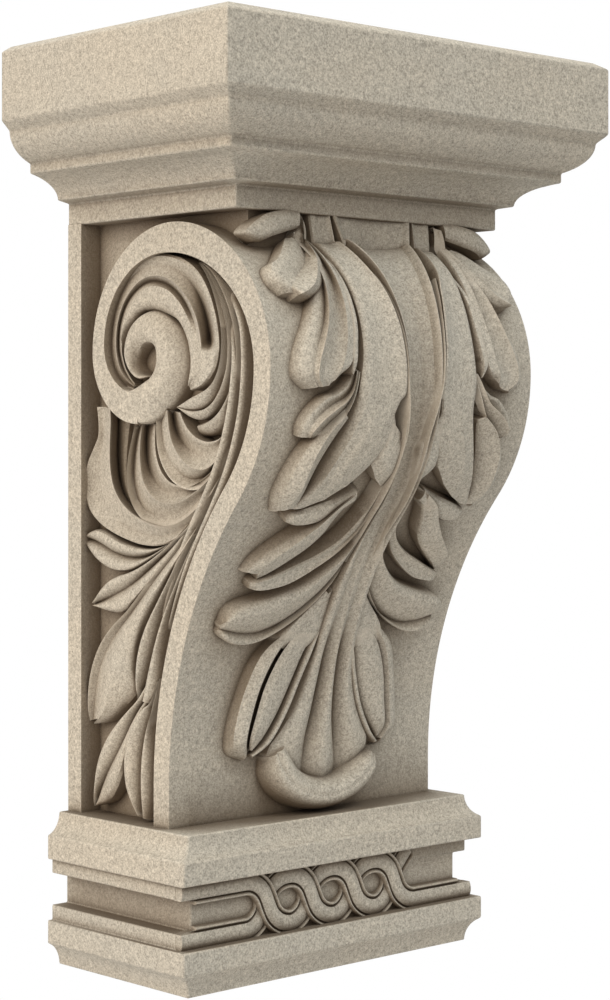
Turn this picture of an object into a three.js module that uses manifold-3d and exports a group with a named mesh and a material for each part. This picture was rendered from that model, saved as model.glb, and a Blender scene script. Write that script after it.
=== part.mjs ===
// Carved stone corbel: a moulded cap over a scrolled bracket, with leafy side panels, an
// acanthus leaf down the front and a plinth block with interlaced straps along its frieze.
// Millimetres. The back lies flat on the wall plane y = 0, the front looks toward -Y and +Z is up.
// Heights are written above the underside of the block; the finished stone is then lowered by half
// of its height, so that the origin sits in the middle of the back.

import * as THREE from "three";
import { mergeVertices } from "three/addons/utils/BufferGeometryUtils.js";
import Module from "manifold-3d";

// Overall size
const HEIGHT = 400;
const CAP_WIDTH = 228;
const CAP_DEPTH = 148;

// Moulded cap, insets from the cap's widest face and heights above the underside
const CAP_CHAMFER_INSET = 5;
const CAP_CHAMFER = 3;
const CAP_FASCIA_FOOT = 367.5;
const CAP_STEP_INSET = 4;
const CAP_STEP_FOOT = 363.5;
const OVOLO_INSET = 15;
const OVOLO_FOOT = 350.2;
const FILLET_FOOT = 346;
const CAVETTO_INSET = 30;
const CAVETTO_FOOT = 335.4;
const NECK_INSET = 36;
const NECK_TOP = 334.2;
const NECK_FOOT = 324.6;

// Plinth block: half widths, depths and heights of its steps
const PLINTH_TOP = 67;
const PLINTH_TOP_HALF = 83.2;
const PLINTH_TOP_DEPTH = 88;
const PLINTH_FASCIA_HALF = 89.4;
const PLINTH_FASCIA_DEPTH = 92.8;
const UPPER_FASCIA_TOP = 57.2;
const UPPER_FASCIA_FOOT = 46.9;
const LOWER_FASCIA_TOP = 20;
const LOWER_FASCIA_FOOT = 10;
const STRAP_FILLET_HALF = 87;
const STRAP_FILLET_DEPTH = 88.3;
const FRIEZE_HALF = 78.9;
const FRIEZE_DEPTH = 84.7;

// Bracket body: an ogee front under a scroll
const BODY_HALF = CAP_WIDTH / 2 - NECK_INSET;
const FOOT_DEPTH = 69.5;
const HOLLOW_RADIUS = 190;
const BELLY_RADIUS = 85;
const SCROLL_RADIUS = 62;
const SCROLL_TOP = 321.5;
const BELLY_DEPTH = 133;
const SHOULDER_DEPTH = 107;

// Side panels, sunk between the stile, the neck and the scrolled rim
const PANEL_SINKING = 11;
const STILE_WIDTH = 9.3;
const RIM_WIDTH = 10;
const RIM_CROWN_WIDTH = 12.5;
const RIM_BACK_WIDTH = 8;
const RIM_TAIL_WIDTH = 13;
const RIM_TAIL_LIFT = 3;
const RIM_THROAT_SHIFT = 5;
const BACK_SCROLL_RADIUS = 53.5;
const TAIL_SCROLL_RADIUS = 31;
const PANEL_FLOOR = BODY_HALF - PANEL_SINKING;

// Interlaced straps
const STRAP_PITCH = 25.3;
const STRAP_WIDTH = 6.5;
const STRAP_CROSSINGS = 4;
const UNDER_STRAP_DROP = 1.4;
const STRAP_STEPS = 56;

// Relief of the carved lobes, and how deep they are rooted in the stone behind them
const LOBE_RISE = 9.5;
const LOBE_TIP_RISE = 9;
const ROOTING = 1.5;
const OVERLAP = 0.4;
const SLIVER = 0.03;
const ARC_STEPS = 7;
const MOULDING_STEPS = 5;

// Body that the carving's paths are drawn on; they stretch with the real one
const DRAWN_FOOT = 67;
const DRAWN_CROWN = 321.5;
const DRAWN_BELLY = 133;
const DRAWN_HALF = 78;

const bellyCentre = new THREE.Vector2(BELLY_DEPTH - BELLY_RADIUS, SCROLL_TOP - SCROLL_RADIUS);
const scrollCentre = new THREE.Vector2(BELLY_DEPTH - SCROLL_RADIUS, SCROLL_TOP - SCROLL_RADIUS);
const hollowCentre = findHollowCentre();
const ogeeAngle = Math.atan2(hollowCentre.y - bellyCentre.y, hollowCentre.x - bellyCentre.x);

const kernel = await Module();
kernel.setup();

// The hollow arc stands on the foot's upright and just touches the belly arc
function findHollowCentre() {
  const depth = FOOT_DEPTH + HOLLOW_RADIUS;
  const reach = HOLLOW_RADIUS + BELLY_RADIUS;
  const drop = Math.sqrt(reach ** 2 - (depth - bellyCentre.x) ** 2);
  return new THREE.Vector2(depth, bellyCentre.y - drop);
}

// Turns a closed three.js geometry into a solid with its faces outward
function solid(geometry) {
  geometry.deleteAttribute("normal");
  geometry.deleteAttribute("uv");
  const merged = mergeVertices(geometry, 1e-3);
  const points = merged.getAttribute("position");
  const corners = [0, 1, 2].map(() => new THREE.Vector3());
  const kept = [];
  let volume = 0;
  for (let i = 0; i < merged.index.count; i += 3) {
    const triangle = [0, 1, 2].map((k) => merged.index.getX(i + k));
    if (new Set(triangle).size < 3) {
      continue;
    }
    kept.push(triangle);
    corners.forEach((corner, k) => corner.fromBufferAttribute(points, triangle[k]));
    volume += corners[0].dot(corners[1].cross(corners[2]));
  }
  const outward = volume < 0 ? kept.map((triangle) => triangle.reverse()) : kept;
  const triVerts = Uint32Array.from(outward.flat());
  const vertProperties = Float32Array.from(points.array);
  return new kernel.Manifold(new kernel.Mesh({ numProp: 3, vertProperties, triVerts }));
}

// Moves every vertex of a geometry to where the given rule sends it
function bend(geometry, rule) {
  const points = geometry.getAttribute("position");
  for (let i = 0; i < points.count; i += 1) {
    points.setXYZ(i, ...rule(points.getX(i), points.getY(i), points.getZ(i)));
  }
  return geometry;
}

// A block whose plan is a rectangle against the wall at each level: [height, half width, depth]
function mouldedBlock(levels) {
  const steps = levels.length - 1;
  const box = new THREE.BoxGeometry(2, 1, steps, 1, 1, steps);
  return solid(
    bend(box, (across, toward, up) => {
      const [height, half, depth] = levels[Math.round(up + steps / 2)];
      return [across * half, (toward - 0.5) * depth, height];
    }),
  );
}

// Levels from one edge to another along a quarter of an ellipse, which leaves the first edge upright
function quarterArc(first, last) {
  const levels = [];
  for (let i = 0; i <= MOULDING_STEPS; i += 1) {
    const angle = (i / MOULDING_STEPS) * (Math.PI / 2);
    const climb = Math.sin(angle);
    const spread = 1 - Math.cos(angle);
    levels.push(first.map((value, axis) => value + (last[axis] - value) * (axis === 0 ? climb : spread)));
  }
  return levels;
}

function capLevel(height, inset) {
  return [height, CAP_WIDTH / 2 - inset, CAP_DEPTH - inset];
}

function makeCap() {
  const cavetto = quarterArc(capLevel(CAVETTO_FOOT, CAVETTO_INSET), capLevel(FILLET_FOOT, OVOLO_INSET));
  const ovolo = quarterArc(capLevel(CAP_STEP_FOOT, CAP_STEP_INSET), capLevel(OVOLO_FOOT, OVOLO_INSET));
  return mouldedBlock([
    capLevel(NECK_FOOT, NECK_INSET),
    capLevel(NECK_TOP, NECK_INSET),
    ...cavetto,
    ...ovolo.reverse(),
    capLevel(CAP_FASCIA_FOOT, 0),
    capLevel(HEIGHT - CAP_CHAMFER, 0),
    capLevel(HEIGHT, CAP_CHAMFER_INSET),
  ]);
}

function makePlinth() {
  const fascia = [PLINTH_FASCIA_HALF, PLINTH_FASCIA_DEPTH];
  const endPlan = [PLINTH_TOP_HALF, PLINTH_TOP_DEPTH];
  const friezePlan = [FRIEZE_HALF, FRIEZE_DEPTH];
  const filletPlan = [STRAP_FILLET_HALF, FRIEZE_DEPTH];
  const lowerHollow = quarterArc([0, ...endPlan], [LOWER_FASCIA_FOOT, ...fascia]);
  const upperHollow = quarterArc([PLINTH_TOP, ...endPlan], [UPPER_FASCIA_TOP, ...fascia]);
  return mouldedBlock([
    ...lowerHollow,
    [LOWER_FASCIA_TOP, ...fascia],
    [LOWER_FASCIA_TOP, ...filletPlan],
    [LOWER_FASCIA_TOP + STRAP_WIDTH, ...filletPlan],
    [LOWER_FASCIA_TOP + STRAP_WIDTH, ...friezePlan],
    [UPPER_FASCIA_FOOT - STRAP_WIDTH, ...friezePlan],
    [UPPER_FASCIA_FOOT - STRAP_WIDTH, ...filletPlan],
    [UPPER_FASCIA_FOOT, ...filletPlan],
    [UPPER_FASCIA_FOOT, ...fascia],
    ...upperHollow.reverse(),
  ]);
}

function joined(solids) {
  return solids.reduce((whole, next) => whole.add(next));
}

// Height of a strap's middle line along the frieze: level, then swinging past the other, then level
function strapHeight(x, isHigh) {
  const middle = (LOWER_FASCIA_TOP + UPPER_FASCIA_FOOT) / 2;
  const swing = (UPPER_FASCIA_FOOT - LOWER_FASCIA_TOP - STRAP_WIDTH) / 2;
  const reach = (STRAP_CROSSINGS / 2) * STRAP_PITCH;
  const phase = ((THREE.MathUtils.clamp(x, -reach, reach) + reach) / STRAP_PITCH) * Math.PI;
  return middle + (isHigh ? swing : -swing) * Math.sin((Math.PI / 2) * Math.cos(phase));
}

// Two straps that cross and recross; each sinks a little where it rises under the other
function makeStraps() {
  return [true, false].map((isHigh) => {
    const box = new THREE.BoxGeometry(2, 2, 1, STRAP_STEPS, 1, 1);
    const strap = bend(box, (along, side, face) => {
      const x = along * STRAP_FILLET_HALF;
      const height = strapHeight(x, isHigh);
      const slope = strapHeight(x + 1, isHigh) - height;
      const out = STRAP_FILLET_DEPTH - FRIEZE_DEPTH - UNDER_STRAP_DROP * Math.min(1, Math.max(0, slope));
      const spread = (side * STRAP_WIDTH) / 2 / Math.hypot(1, slope);
      return [x - spread * slope, -(FRIEZE_DEPTH + (face > 0 ? out : -ROOTING)), height + spread];
    });
    return solid(strap);
  });
}

// The ogee: up the foot, round the hollow, round the belly and over the scroll to its crown
function traceOgee(shape, inward) {
  const turn = Math.PI + ogeeAngle;
  shape.absarc(hollowCentre.x, hollowCentre.y, HOLLOW_RADIUS + inward, Math.PI, turn, true);
  shape.absarc(bellyCentre.x, bellyCentre.y, BELLY_RADIUS - inward, ogeeAngle, 0, false);
}

// A shape drawn in depth and height, made a slab between two places across the stone
function slab(shape, left, right, curveSegments) {
  const depth = right - left;
  const geometry = new THREE.ExtrudeGeometry(shape, { depth, bevelEnabled: false, curveSegments });
  return bend(geometry, (toward, up, along) => [left + along, -toward, up]);
}

// The middle of the body, whose shoulder runs up to the neck behind the leaf
function makeBody() {
  const shape = new THREE.Shape();
  shape.moveTo(0, PLINTH_TOP - OVERLAP);
  shape.lineTo(FOOT_DEPTH, PLINTH_TOP - OVERLAP);
  traceOgee(shape, 0);
  const shoulderAngle = Math.acos((SHOULDER_DEPTH - scrollCentre.x) / SCROLL_RADIUS);
  shape.absarc(scrollCentre.x, scrollCentre.y, SCROLL_RADIUS, 0, shoulderAngle, false);
  shape.lineTo(SHOULDER_DEPTH, NECK_FOOT + OVERLAP);
  shape.lineTo(0, NECK_FOOT + OVERLAP);
  return solid(slab(shape, -PANEL_FLOOR, PANEL_FLOOR, ARC_STEPS));
}

// The rim of one side panel: the ogee, the scroll and its tail, and back along the inner edge
function makeRim() {
  const shape = new THREE.Shape();
  const crown = SCROLL_TOP;
  const backCentre = new THREE.Vector2(scrollCentre.x, crown - BACK_SCROLL_RADIUS);
  const tailX = backCentre.x - BACK_SCROLL_RADIUS + TAIL_SCROLL_RADIUS;
  const quarter = Math.PI / 2;
  shape.moveTo(FOOT_DEPTH - RIM_WIDTH, PLINTH_TOP - OVERLAP);
  shape.lineTo(FOOT_DEPTH, PLINTH_TOP - OVERLAP);
  traceOgee(shape, 0);
  shape.absarc(scrollCentre.x, scrollCentre.y, SCROLL_RADIUS, 0, quarter, false);
  shape.absarc(backCentre.x, backCentre.y, BACK_SCROLL_RADIUS, quarter, Math.PI, false);
  shape.absarc(tailX, backCentre.y, TAIL_SCROLL_RADIUS, Math.PI, 3 * quarter, false);
  const innerTop = crown - RIM_CROWN_WIDTH;
  const innerLeft = backCentre.x - BACK_SCROLL_RADIUS + RIM_BACK_WIDTH;
  const innerRight = BELLY_DEPTH - RIM_WIDTH;
  const innerTurn = backCentre.y + RIM_TAIL_LIFT;
  const innerFoot = backCentre.y - TAIL_SCROLL_RADIUS + RIM_TAIL_WIDTH;
  const throat = scrollCentre.x - RIM_THROAT_SHIFT;
  shape.absellipse(tailX, innerTurn, tailX - innerLeft, innerTurn - innerFoot, 3 * quarter, Math.PI, true);
  shape.absellipse(throat, innerTurn, throat - innerLeft, innerTop - innerTurn, Math.PI, quarter, true);
  const scrollDrop = innerTop - scrollCentre.y;
  shape.absellipse(throat, scrollCentre.y, innerRight - throat, scrollDrop, quarter, 0, true);
  shape.absarc(bellyCentre.x, bellyCentre.y, BELLY_RADIUS - RIM_WIDTH, 0, ogeeAngle, true);
  const turn = Math.PI + ogeeAngle;
  shape.absarc(hollowCentre.x, hollowCentre.y, HOLLOW_RADIUS + RIM_WIDTH, turn, Math.PI, false);
  return slab(shape, -BODY_HALF, -PANEL_FLOOR, ARC_STEPS);
}

function makeStile() {
  const shape = new THREE.Shape();
  shape.moveTo(0, PLINTH_TOP - OVERLAP);
  shape.lineTo(STILE_WIDTH, PLINTH_TOP - OVERLAP);
  shape.lineTo(STILE_WIDTH, NECK_FOOT + OVERLAP);
  shape.lineTo(0, NECK_FOOT + OVERLAP);
  return slab(shape, -BODY_HALF, -PANEL_FLOOR, 1);
}

// Height on the real body of a height on the drawn one
function stretched(height) {
  const stretch = (SCROLL_TOP - PLINTH_TOP) / (DRAWN_CROWN - DRAWN_FOOT);
  return PLINTH_TOP + (height - DRAWN_FOOT) * stretch;
}

// Point on a side panel, at a drawn depth and height and a rise above the panel's floor
function onPanel(depth, height, rise) {
  return [-(PANEL_FLOOR + rise), (-depth * BELLY_DEPTH) / DRAWN_BELLY, stretched(height)];
}

// Depth of the body's front behind the leaf, at a height
function frontDepth(height) {
  const join = bellyCentre.y + BELLY_RADIUS * Math.sin(ogeeAngle);
  if (height < hollowCentre.y) {
    return FOOT_DEPTH;
  }
  if (height < join) {
    return hollowCentre.x - Math.sqrt(HOLLOW_RADIUS ** 2 - (height - hollowCentre.y) ** 2);
  }
  const isBelly = height < bellyCentre.y;
  const [centre, radius] = isBelly ? [bellyCentre, BELLY_RADIUS] : [scrollCentre, SCROLL_RADIUS];
  const drop = Math.min(Math.abs(height - centre.y), radius);
  return Math.max(SHOULDER_DEPTH, centre.x + Math.sqrt(radius ** 2 - drop ** 2));
}

// Point over the ogee front, at a drawn place across and height and a rise square to the front
function onFront(across, height, rise) {
  const step = 1;
  const up = stretched(height);
  const lean = (frontDepth(up + step) - frontDepth(up - step)) / (2 * step);
  const length = Math.hypot(1, lean);
  const x = (across * BODY_HALF) / DRAWN_HALF;
  return [x, -(frontDepth(up) + rise / length), up - (rise * lean) / length];
}

// Height of a carved section beside its middle line, as a share of its rise
function sectionShare(side, edge, gutter) {
  const reach = Math.abs(side) * 2;
  return reach > 1 ? THREE.MathUtils.lerp(1, edge, reach - 1) : THREE.MathUtils.lerp(gutter, 1, reach);
}

// A carved lobe, two ridges beside a gutter, swept along a path of [place, height, half width]
function lobe(design, place) {
  const { path, rise, tipRise, foot, edge, gutter, along, across } = {
    rise: LOBE_RISE,
    tipRise: LOBE_TIP_RISE,
    foot: -ROOTING,
    edge: 0.62,
    gutter: 0.8,
    along: 5,
    across: 4,
    ...design,
  };
  const curve = new THREE.CatmullRomCurve3(path.map((point) => new THREE.Vector3(...point)));
  const box = new THREE.BoxGeometry(2, 1, 1, across, along, 1);
  return bend(box, (side, length, face) => {
    const centre = curve.getPointAt(length + 0.5);
    const ahead = curve.getTangentAt(length + 0.5);
    const heading = new THREE.Vector2(ahead.x, ahead.y).normalize();
    const offset = centre.z * side;
    const crest = THREE.MathUtils.lerp(rise, tipRise, length + 0.5);
    const height = face < 0 ? foot : crest * sectionShare(side, edge, gutter);
    return place(centre.x - heading.y * offset, centre.y + heading.x * offset, height);
  });
}

// Leaf lobes of the side panel, springing from the rim, from the top down
const PANEL_LOBES = [
  { path: [[113, 232, 2], [92, 215, 7], [74, 220, 9], [67, 240, 7]] },
  { path: [[108, 218, 2], [82, 203, 6], [56, 206, 9], [47, 220, 8], [51, 236, 6]] },
  { path: [[100, 207, 2], [70, 192, 5], [42, 194, 8], [25, 208, 13], [27, 225, 9], [25, 243, 4]] },
  { path: [[96, 203, 1.5], [72, 186, 4.5], [42, 180, 6], [22, 184, 5], [12, 187, 1.5]], across: 2 },
  { path: [[93, 200, 1.5], [70, 182, 4], [43, 165, 5.5], [19, 158, 1.5]], across: 2 },
  { path: [[90, 196, 2], [62, 171, 8], [36, 147, 13], [22, 122, 11], [18, 109, 5]] },
  { path: [[88, 192, 1], [64, 161, 4], [52, 142, 5], [50, 122, 2]], across: 2 },
  { path: [[88, 190, 1], [70, 158, 4], [60, 138, 5], [56, 119, 3]], across: 2 },
  { path: [[60, 122, 2], [44, 107, 6], [29, 88, 8], [21, 72, 2]] },
  { path: [[61, 122, 1.5], [49, 106, 4], [44, 90, 6], [50, 71, 1.5]], across: 2 },
  { path: [[62, 121, 1.5], [57, 104, 4], [54, 88, 4.5], [55, 70, 2]], across: 2 },
];

// The stem beside the rim, the leaves folded inside the scroll and the rounded eye they wrap
const SCROLL_FORMS = [
  { path: [[61, 116, 2], [74, 157, 3], [90, 188, 3], [109, 212, 4], [121, 248, 3]], across: 2 },
  { path: [[99, 300, 3], [113, 285, 5], [116, 265, 6], [110, 245, 6], [95, 235, 5], [80, 237, 3]] },
  { path: [[88, 304, 3], [103, 289, 5], [106, 268, 5], [99, 252, 5], [77, 244, 1]], across: 2 },
  { path: [[32, 258, 3], [33, 280, 6], [60, 297, 10], [86, 289, 9], [94, 270, 7], [88, 253, 3]], along: 9 },
  {
    path: [[38, 244, 6], [58, 246, 8], [73, 258, 12], [68, 275, 9], [55, 277, 7], [45, 267, 7], [50, 261, 4]],
    rise: 12,
    tipRise: 12,
    gutter: 1,
    edge: 0.5,
    along: 12,
  },
];

// Lobes of the acanthus leaf's left half over the front, from the top down
const LEAF_LOBES = [
  { path: [[-20, 304, 6], [-42, 305, 11], [-58, 299, 9], [-67, 290, 4]] },
  { path: [[-34, 316, 6], [-43, 292, 11], [-55, 268, 13], [-66, 254, 5]] },
  { path: [[-34, 262, 2], [-48, 245, 6], [-67, 233, 3]], across: 2 },
  { path: [[-18, 270, 5], [-28, 245, 12], [-44, 222, 16], [-60, 206, 6]] },
  { path: [[-25, 208, 2], [-42, 198, 4], [-60, 197, 2]], across: 2 },
  { path: [[-24, 206, 3], [-40, 190, 6], [-66, 175, 3]], across: 2 },
  { path: [[-6, 225, 2], [-14, 192, 4], [-35, 172, 5], [-66, 170, 4]], across: 2 },
  { path: [[-7, 205, 3], [-18, 172, 6], [-42, 155, 8], [-73, 153, 2]], tipRise: 4 },
  { path: [[-20, 150, 5], [-36, 132, 9], [-46, 110, 8], [-50, 95, 4]] },
  { path: [[-12, 160, 3], [-22, 128, 6], [-38, 97, 3]], across: 2 },
  { path: [[-5, 160, 3], [-10, 125, 6], [-28, 98, 5]], across: 2 },
];

// The leaf's hollow stalk, and the rolled tip at its foot
const LEAF_STALK = {
  path: [[0, 323, 24], [0, 290, 15], [0, 250, 12], [0, 215, 9], [0, 150, 9], [0, 110, 12], [0, 84, 14]],
  rise: 12,
  tipRise: 12,
  edge: 0.8,
  gutter: 0.5,
  along: 14,
};
const LEAF_ROLL = {
  path: [[-33, 96, 5], [-29, 79, 8], [0, 73, 8], [29, 79, 8], [33, 96, 5]],
  rise: 15,
  tipRise: 15,
  edge: 0.4,
  gutter: 1.1,
  along: 10,
};

// Drilled eyes and slits between the lobes of the left half
const LEAF_CUTS = [
  { path: [[-16, 245, 3], [-7, 231, 2]] },
  { path: [[-9, 207, 6], [-20, 196, 8], [-27, 190, 2]] },
  { path: [[-41, 257, 3], [-58, 250, 1]] },
  { path: [[-26, 189, 2], [-40, 179, 2], [-54, 172, 1]] },
  { path: [[-11, 138, 1], [-15, 118, 2], [-30, 98, 1]] },
];
const CUT_FOOT = 2;
const CUT_TOP = 24;

// The stone without slivers, and without hollows that lobes close off where they lie over each other
function outerShell(stone) {
  const shells = stone.simplify(SLIVER).decompose();
  return shells.reduce((largest, shell) => (shell.volume() > largest.volume() ? shell : largest));
}

// A carved form and its like on the other side of the stone
function pair(geometry) {
  const mirrored = bend(geometry.clone(), (x, y, z) => [-x, y, z]);
  return [solid(geometry), solid(mirrored)];
}

function makeSideCarving() {
  return [...PANEL_LOBES, ...SCROLL_FORMS].flatMap((design) => pair(lobe(design, onPanel)));
}

function makeLeaf() {
  const lobes = LEAF_LOBES.flatMap((design) => pair(lobe(design, onFront)));
  const middle = [LEAF_STALK, LEAF_ROLL].map((design) => solid(lobe(design, onFront)));
  return [...lobes, ...middle];
}

function makeLeafCuts() {
  const shape = { foot: CUT_FOOT, rise: CUT_TOP, tipRise: CUT_TOP, edge: 1, gutter: 1, across: 1, along: 4 };
  return LEAF_CUTS.flatMap((design) => pair(lobe({ ...shape, ...design }, onFront)));
}

function toGeometry(stone) {
  const mesh = stone.getMesh();
  const geometry = new THREE.BufferGeometry();
  geometry.setAttribute("position", new THREE.BufferAttribute(mesh.vertProperties, 3));
  geometry.setIndex(new THREE.BufferAttribute(mesh.triVerts, 1));
  geometry.computeVertexNormals();
  return geometry;
}

function makeStone() {
  const frame = [makeRim(), makeStile()].flatMap((geometry) => pair(geometry));
  const block = joined([makeCap(), makePlinth(), makeBody(), ...makeStraps(), ...frame]);
  const carved = joined([block, ...makeSideCarving(), ...makeLeaf()]);
  return outerShell(makeLeafCuts().reduce((stone, cut) => stone.subtract(cut), carved));
}

const sandstone = new THREE.MeshStandardMaterial({ color: 0xbdb39b, roughness: 0.95, metalness: 0 });
const corbel = new THREE.Mesh(toGeometry(makeStone()), sandstone);
corbel.name = "corbel";
corbel.position.z = -HEIGHT / 2;

const model = new THREE.Group();
model.add(corbel);

export default model;
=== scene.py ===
"""Carved sandstone corbel: moulded cap, scrolled bracket with leafy sides, leaf front, strapwork plinth."""

import logging
import math
from dataclasses import dataclass, field
from enum import Enum

import bpy
import numpy as np
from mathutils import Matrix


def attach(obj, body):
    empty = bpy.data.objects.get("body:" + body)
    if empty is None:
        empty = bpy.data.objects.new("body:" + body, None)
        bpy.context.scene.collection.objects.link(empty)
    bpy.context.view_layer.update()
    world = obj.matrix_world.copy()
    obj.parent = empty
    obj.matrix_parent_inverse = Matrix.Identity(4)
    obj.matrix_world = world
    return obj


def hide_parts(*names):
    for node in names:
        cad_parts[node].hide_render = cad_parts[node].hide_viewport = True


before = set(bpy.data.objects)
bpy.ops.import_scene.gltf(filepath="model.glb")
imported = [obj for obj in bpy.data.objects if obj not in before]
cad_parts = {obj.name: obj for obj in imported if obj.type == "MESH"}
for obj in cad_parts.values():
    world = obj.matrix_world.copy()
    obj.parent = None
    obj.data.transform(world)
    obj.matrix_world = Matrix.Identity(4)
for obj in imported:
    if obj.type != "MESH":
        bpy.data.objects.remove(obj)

MM = 0.001
HALF_HEIGHT = 200.0
# Points of an outline nearer than this, in millimetres, are one point
CLOSE = 1e-3
MIRROR = np.diag([-1.0, 1.0, 1.0])

log = logging.getLogger("corbel")

# Depth and height of a place in a section through the stone
Corner = tuple[float, float]
Point = tuple[float, float, float]
Path = tuple[Point, ...]


@dataclass(frozen=True)
class StoneSizes:
    """Sizes that the stone's parts share, in millimetres; heights run up from the underside."""

    height: float = 400.0
    cap_width: float = 228.0
    cap_depth: float = 148.0
    neck_inset: float = 36.0
    neck_foot: float = 324.6
    plinth_top: float = 67.0
    body_half: float = 78.0
    panel_sinking: float = 11.0
    stile_width: float = 9.3
    rim_width: float = 10.0
    foot_depth: float = 69.5
    hollow_radius: float = 190.0
    belly_radius: float = 85.0
    scroll_radius: float = 62.0
    scroll_top: float = 321.5
    belly_depth: float = 133.0
    shoulder_depth: float = 107.0

    @property
    def panel_floor(self) -> float:
        """Distance of a side panel's floor from the middle of the stone."""
        return self.body_half - self.panel_sinking

    @property
    def belly_centre(self) -> Corner:
        """Depth and height of the belly arc's centre."""
        return self.belly_depth - self.belly_radius, self.scroll_top - self.scroll_radius

    @property
    def scroll_centre(self) -> Corner:
        """Depth and height of the scroll arc's centre."""
        return self.belly_depth - self.scroll_radius, self.scroll_top - self.scroll_radius

    @property
    def hollow_centre(self) -> Corner:
        """Depth and height of the hollow arc's centre, which just touches the belly arc.

        Returns:
            The centre.
        """
        depth = self.foot_depth + self.hollow_radius
        reach = self.hollow_radius + self.belly_radius
        belly = self.belly_centre
        return depth, belly[1] - math.sqrt(reach**2 - (depth - belly[0]) ** 2)

    @property
    def ogee_angle(self) -> float:
        """Angle, from the belly's centre, of the place where hollow and belly meet."""
        hollow, belly = self.hollow_centre, self.belly_centre
        return math.atan2(hollow[1] - belly[1], hollow[0] - belly[0])

    def front_depth(self, height: float) -> float:
        """Depth of the body's front behind the leaf.

        Args:
            height: Height above the underside.

        Returns:
            Distance of the front from the wall.
        """
        hollow, belly, scroll = self.hollow_centre, self.belly_centre, self.scroll_centre
        join = belly[1] + self.belly_radius * math.sin(self.ogee_angle)
        if height < hollow[1]:
            return self.foot_depth
        if height < join:
            return hollow[0] - math.sqrt(self.hollow_radius**2 - (height - hollow[1]) ** 2)
        centre, radius = (belly, self.belly_radius) if height < belly[1] else (scroll, self.scroll_radius)
        drop = min(abs(height - centre[1]), radius)
        return max(self.shoulder_depth, centre[0] + math.sqrt(radius**2 - drop**2))


STONE = StoneSizes()


def arc(centre: Corner, radii: Corner, first: float, last: float, steps: int) -> list[Corner]:
    """Points along an ellipse's arc.

    Args:
        centre: Depth and height of its centre.
        radii: Its radii in depth and in height.
        first: Angle that it starts at, in radians.
        last: Angle that it ends at.
        steps: How many straight pieces make it.

    Returns:
        Depth and height of each point.
    """
    angles = np.linspace(first, last, steps + 1)
    return [(centre[0] + radii[0] * math.cos(a), centre[1] + radii[1] * math.sin(a)) for a in angles]


class Field:
    """A socket of a node tree, which arithmetic can be written with."""

    def __init__(self, tree: bpy.types.NodeTree, socket: bpy.types.NodeSocket) -> None:
        """Keeps the tree and the socket."""
        self.tree = tree
        self.socket = socket

    def math(self, operation: str, *others: "Field | float") -> "Field":
        """Adds a Math node.

        Args:
            operation: The node's operation.
            *others: What goes into its further inputs.

        Returns:
            The node's value.
        """
        node = self.tree.nodes.new("ShaderNodeMath")
        node.operation = operation
        for slot, value in enumerate((self, *others)):
            feed(self.tree, node.inputs[slot], value)
        return Field(self.tree, node.outputs[0])

    def __add__(self, other: "Field | float") -> "Field":
        """Sum of the two."""
        return self.math("ADD", other)

    def __sub__(self, other: "Field | float") -> "Field":
        """Difference of the two."""
        return self.math("SUBTRACT", other)

    def __rsub__(self, other: float) -> "Field":
        """What is left of a plain number without this."""
        return as_field(self.tree, other) - self

    def __mul__(self, other: "Field | float") -> "Field":
        """Product of the two."""
        return self.math("MULTIPLY", other)

    def __truediv__(self, other: "Field | float") -> "Field":
        """Quotient of the two."""
        return self.math("DIVIDE", other)

    def least(self, other: "Field | float") -> "Field":
        """The smaller of the two."""
        return self.math("MINIMUM", other)

    def most(self, other: "Field | float") -> "Field":
        """The larger of the two."""
        return self.math("MAXIMUM", other)

    def floor(self) -> "Field":
        """The whole number below."""
        return self.math("FLOOR")

    def above(self, other: "Field | float") -> "Field":
        """1 where this is greater, else 0."""
        return self.math("GREATER_THAN", other)

    def toward(self, other: "Field | float", share: "Field | float") -> "Field":
        """Mix of this and the other by a share."""
        return self + (as_field(self.tree, other) - self) * share


def feed(tree: bpy.types.NodeTree, socket: bpy.types.NodeSocket, value: object) -> None:
    """Links a field to a socket, or sets a plain value on it.

    Args:
        tree: The node tree.
        socket: The input.
        value: A Field, or what the socket's own value becomes.
    """
    if isinstance(value, Field):
        tree.links.new(value.socket, socket)
    else:
        socket.default_value = value


def as_field(tree: bpy.types.NodeTree, value: "Field | float") -> Field:
    """A field, made of a plain number where it isn't one yet.

    Args:
        tree: The node tree.
        value: Field or number.

    Returns:
        The field.
    """
    if isinstance(value, Field):
        return value
    node = tree.nodes.new("ShaderNodeValue")
    node.outputs[0].default_value = value
    return Field(tree, node.outputs[0])


def add_node(
    tree: bpy.types.NodeTree, kind: str, inputs: dict | None = None, **settings: object
) -> bpy.types.Node:
    """Adds a node and fills it in.

    Args:
        tree: The node tree.
        kind: The node's type name.
        inputs: Value or field for each input, by name or place.
        **settings: The node's own properties.

    Returns:
        The node.
    """
    node = tree.nodes.new(kind)
    for name, value in settings.items():
        setattr(node, name, value)
    for name, value in (inputs or {}).items():
        feed(tree, node.inputs[name], value)
    return node


def node_field(
    tree: bpy.types.NodeTree,
    kind: str,
    inputs: dict | None = None,
    output: int | str = 0,
    **settings: object,
) -> Field:
    """Adds a node and takes one of its outputs.

    Args:
        tree: The node tree.
        kind: The node's type name.
        inputs: Value or field for each input, by name or place.
        output: Which output, by name or place.
        **settings: The node's own properties.

    Returns:
        The output.
    """
    return Field(tree, add_node(tree, kind, inputs, **settings).outputs[output])


def join_fields(tree: bpy.types.NodeTree, x: object, y: object, z: object) -> Field:
    """A vector of three fields or numbers."""
    return node_field(tree, "ShaderNodeCombineXYZ", {0: x, 1: y, 2: z})


def split_field(tree: bpy.types.NodeTree, vector: Field) -> list[Field]:
    """The three parts of a vector field."""
    node = add_node(tree, "ShaderNodeSeparateXYZ", {0: vector})
    return [Field(tree, output) for output in node.outputs]


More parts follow.
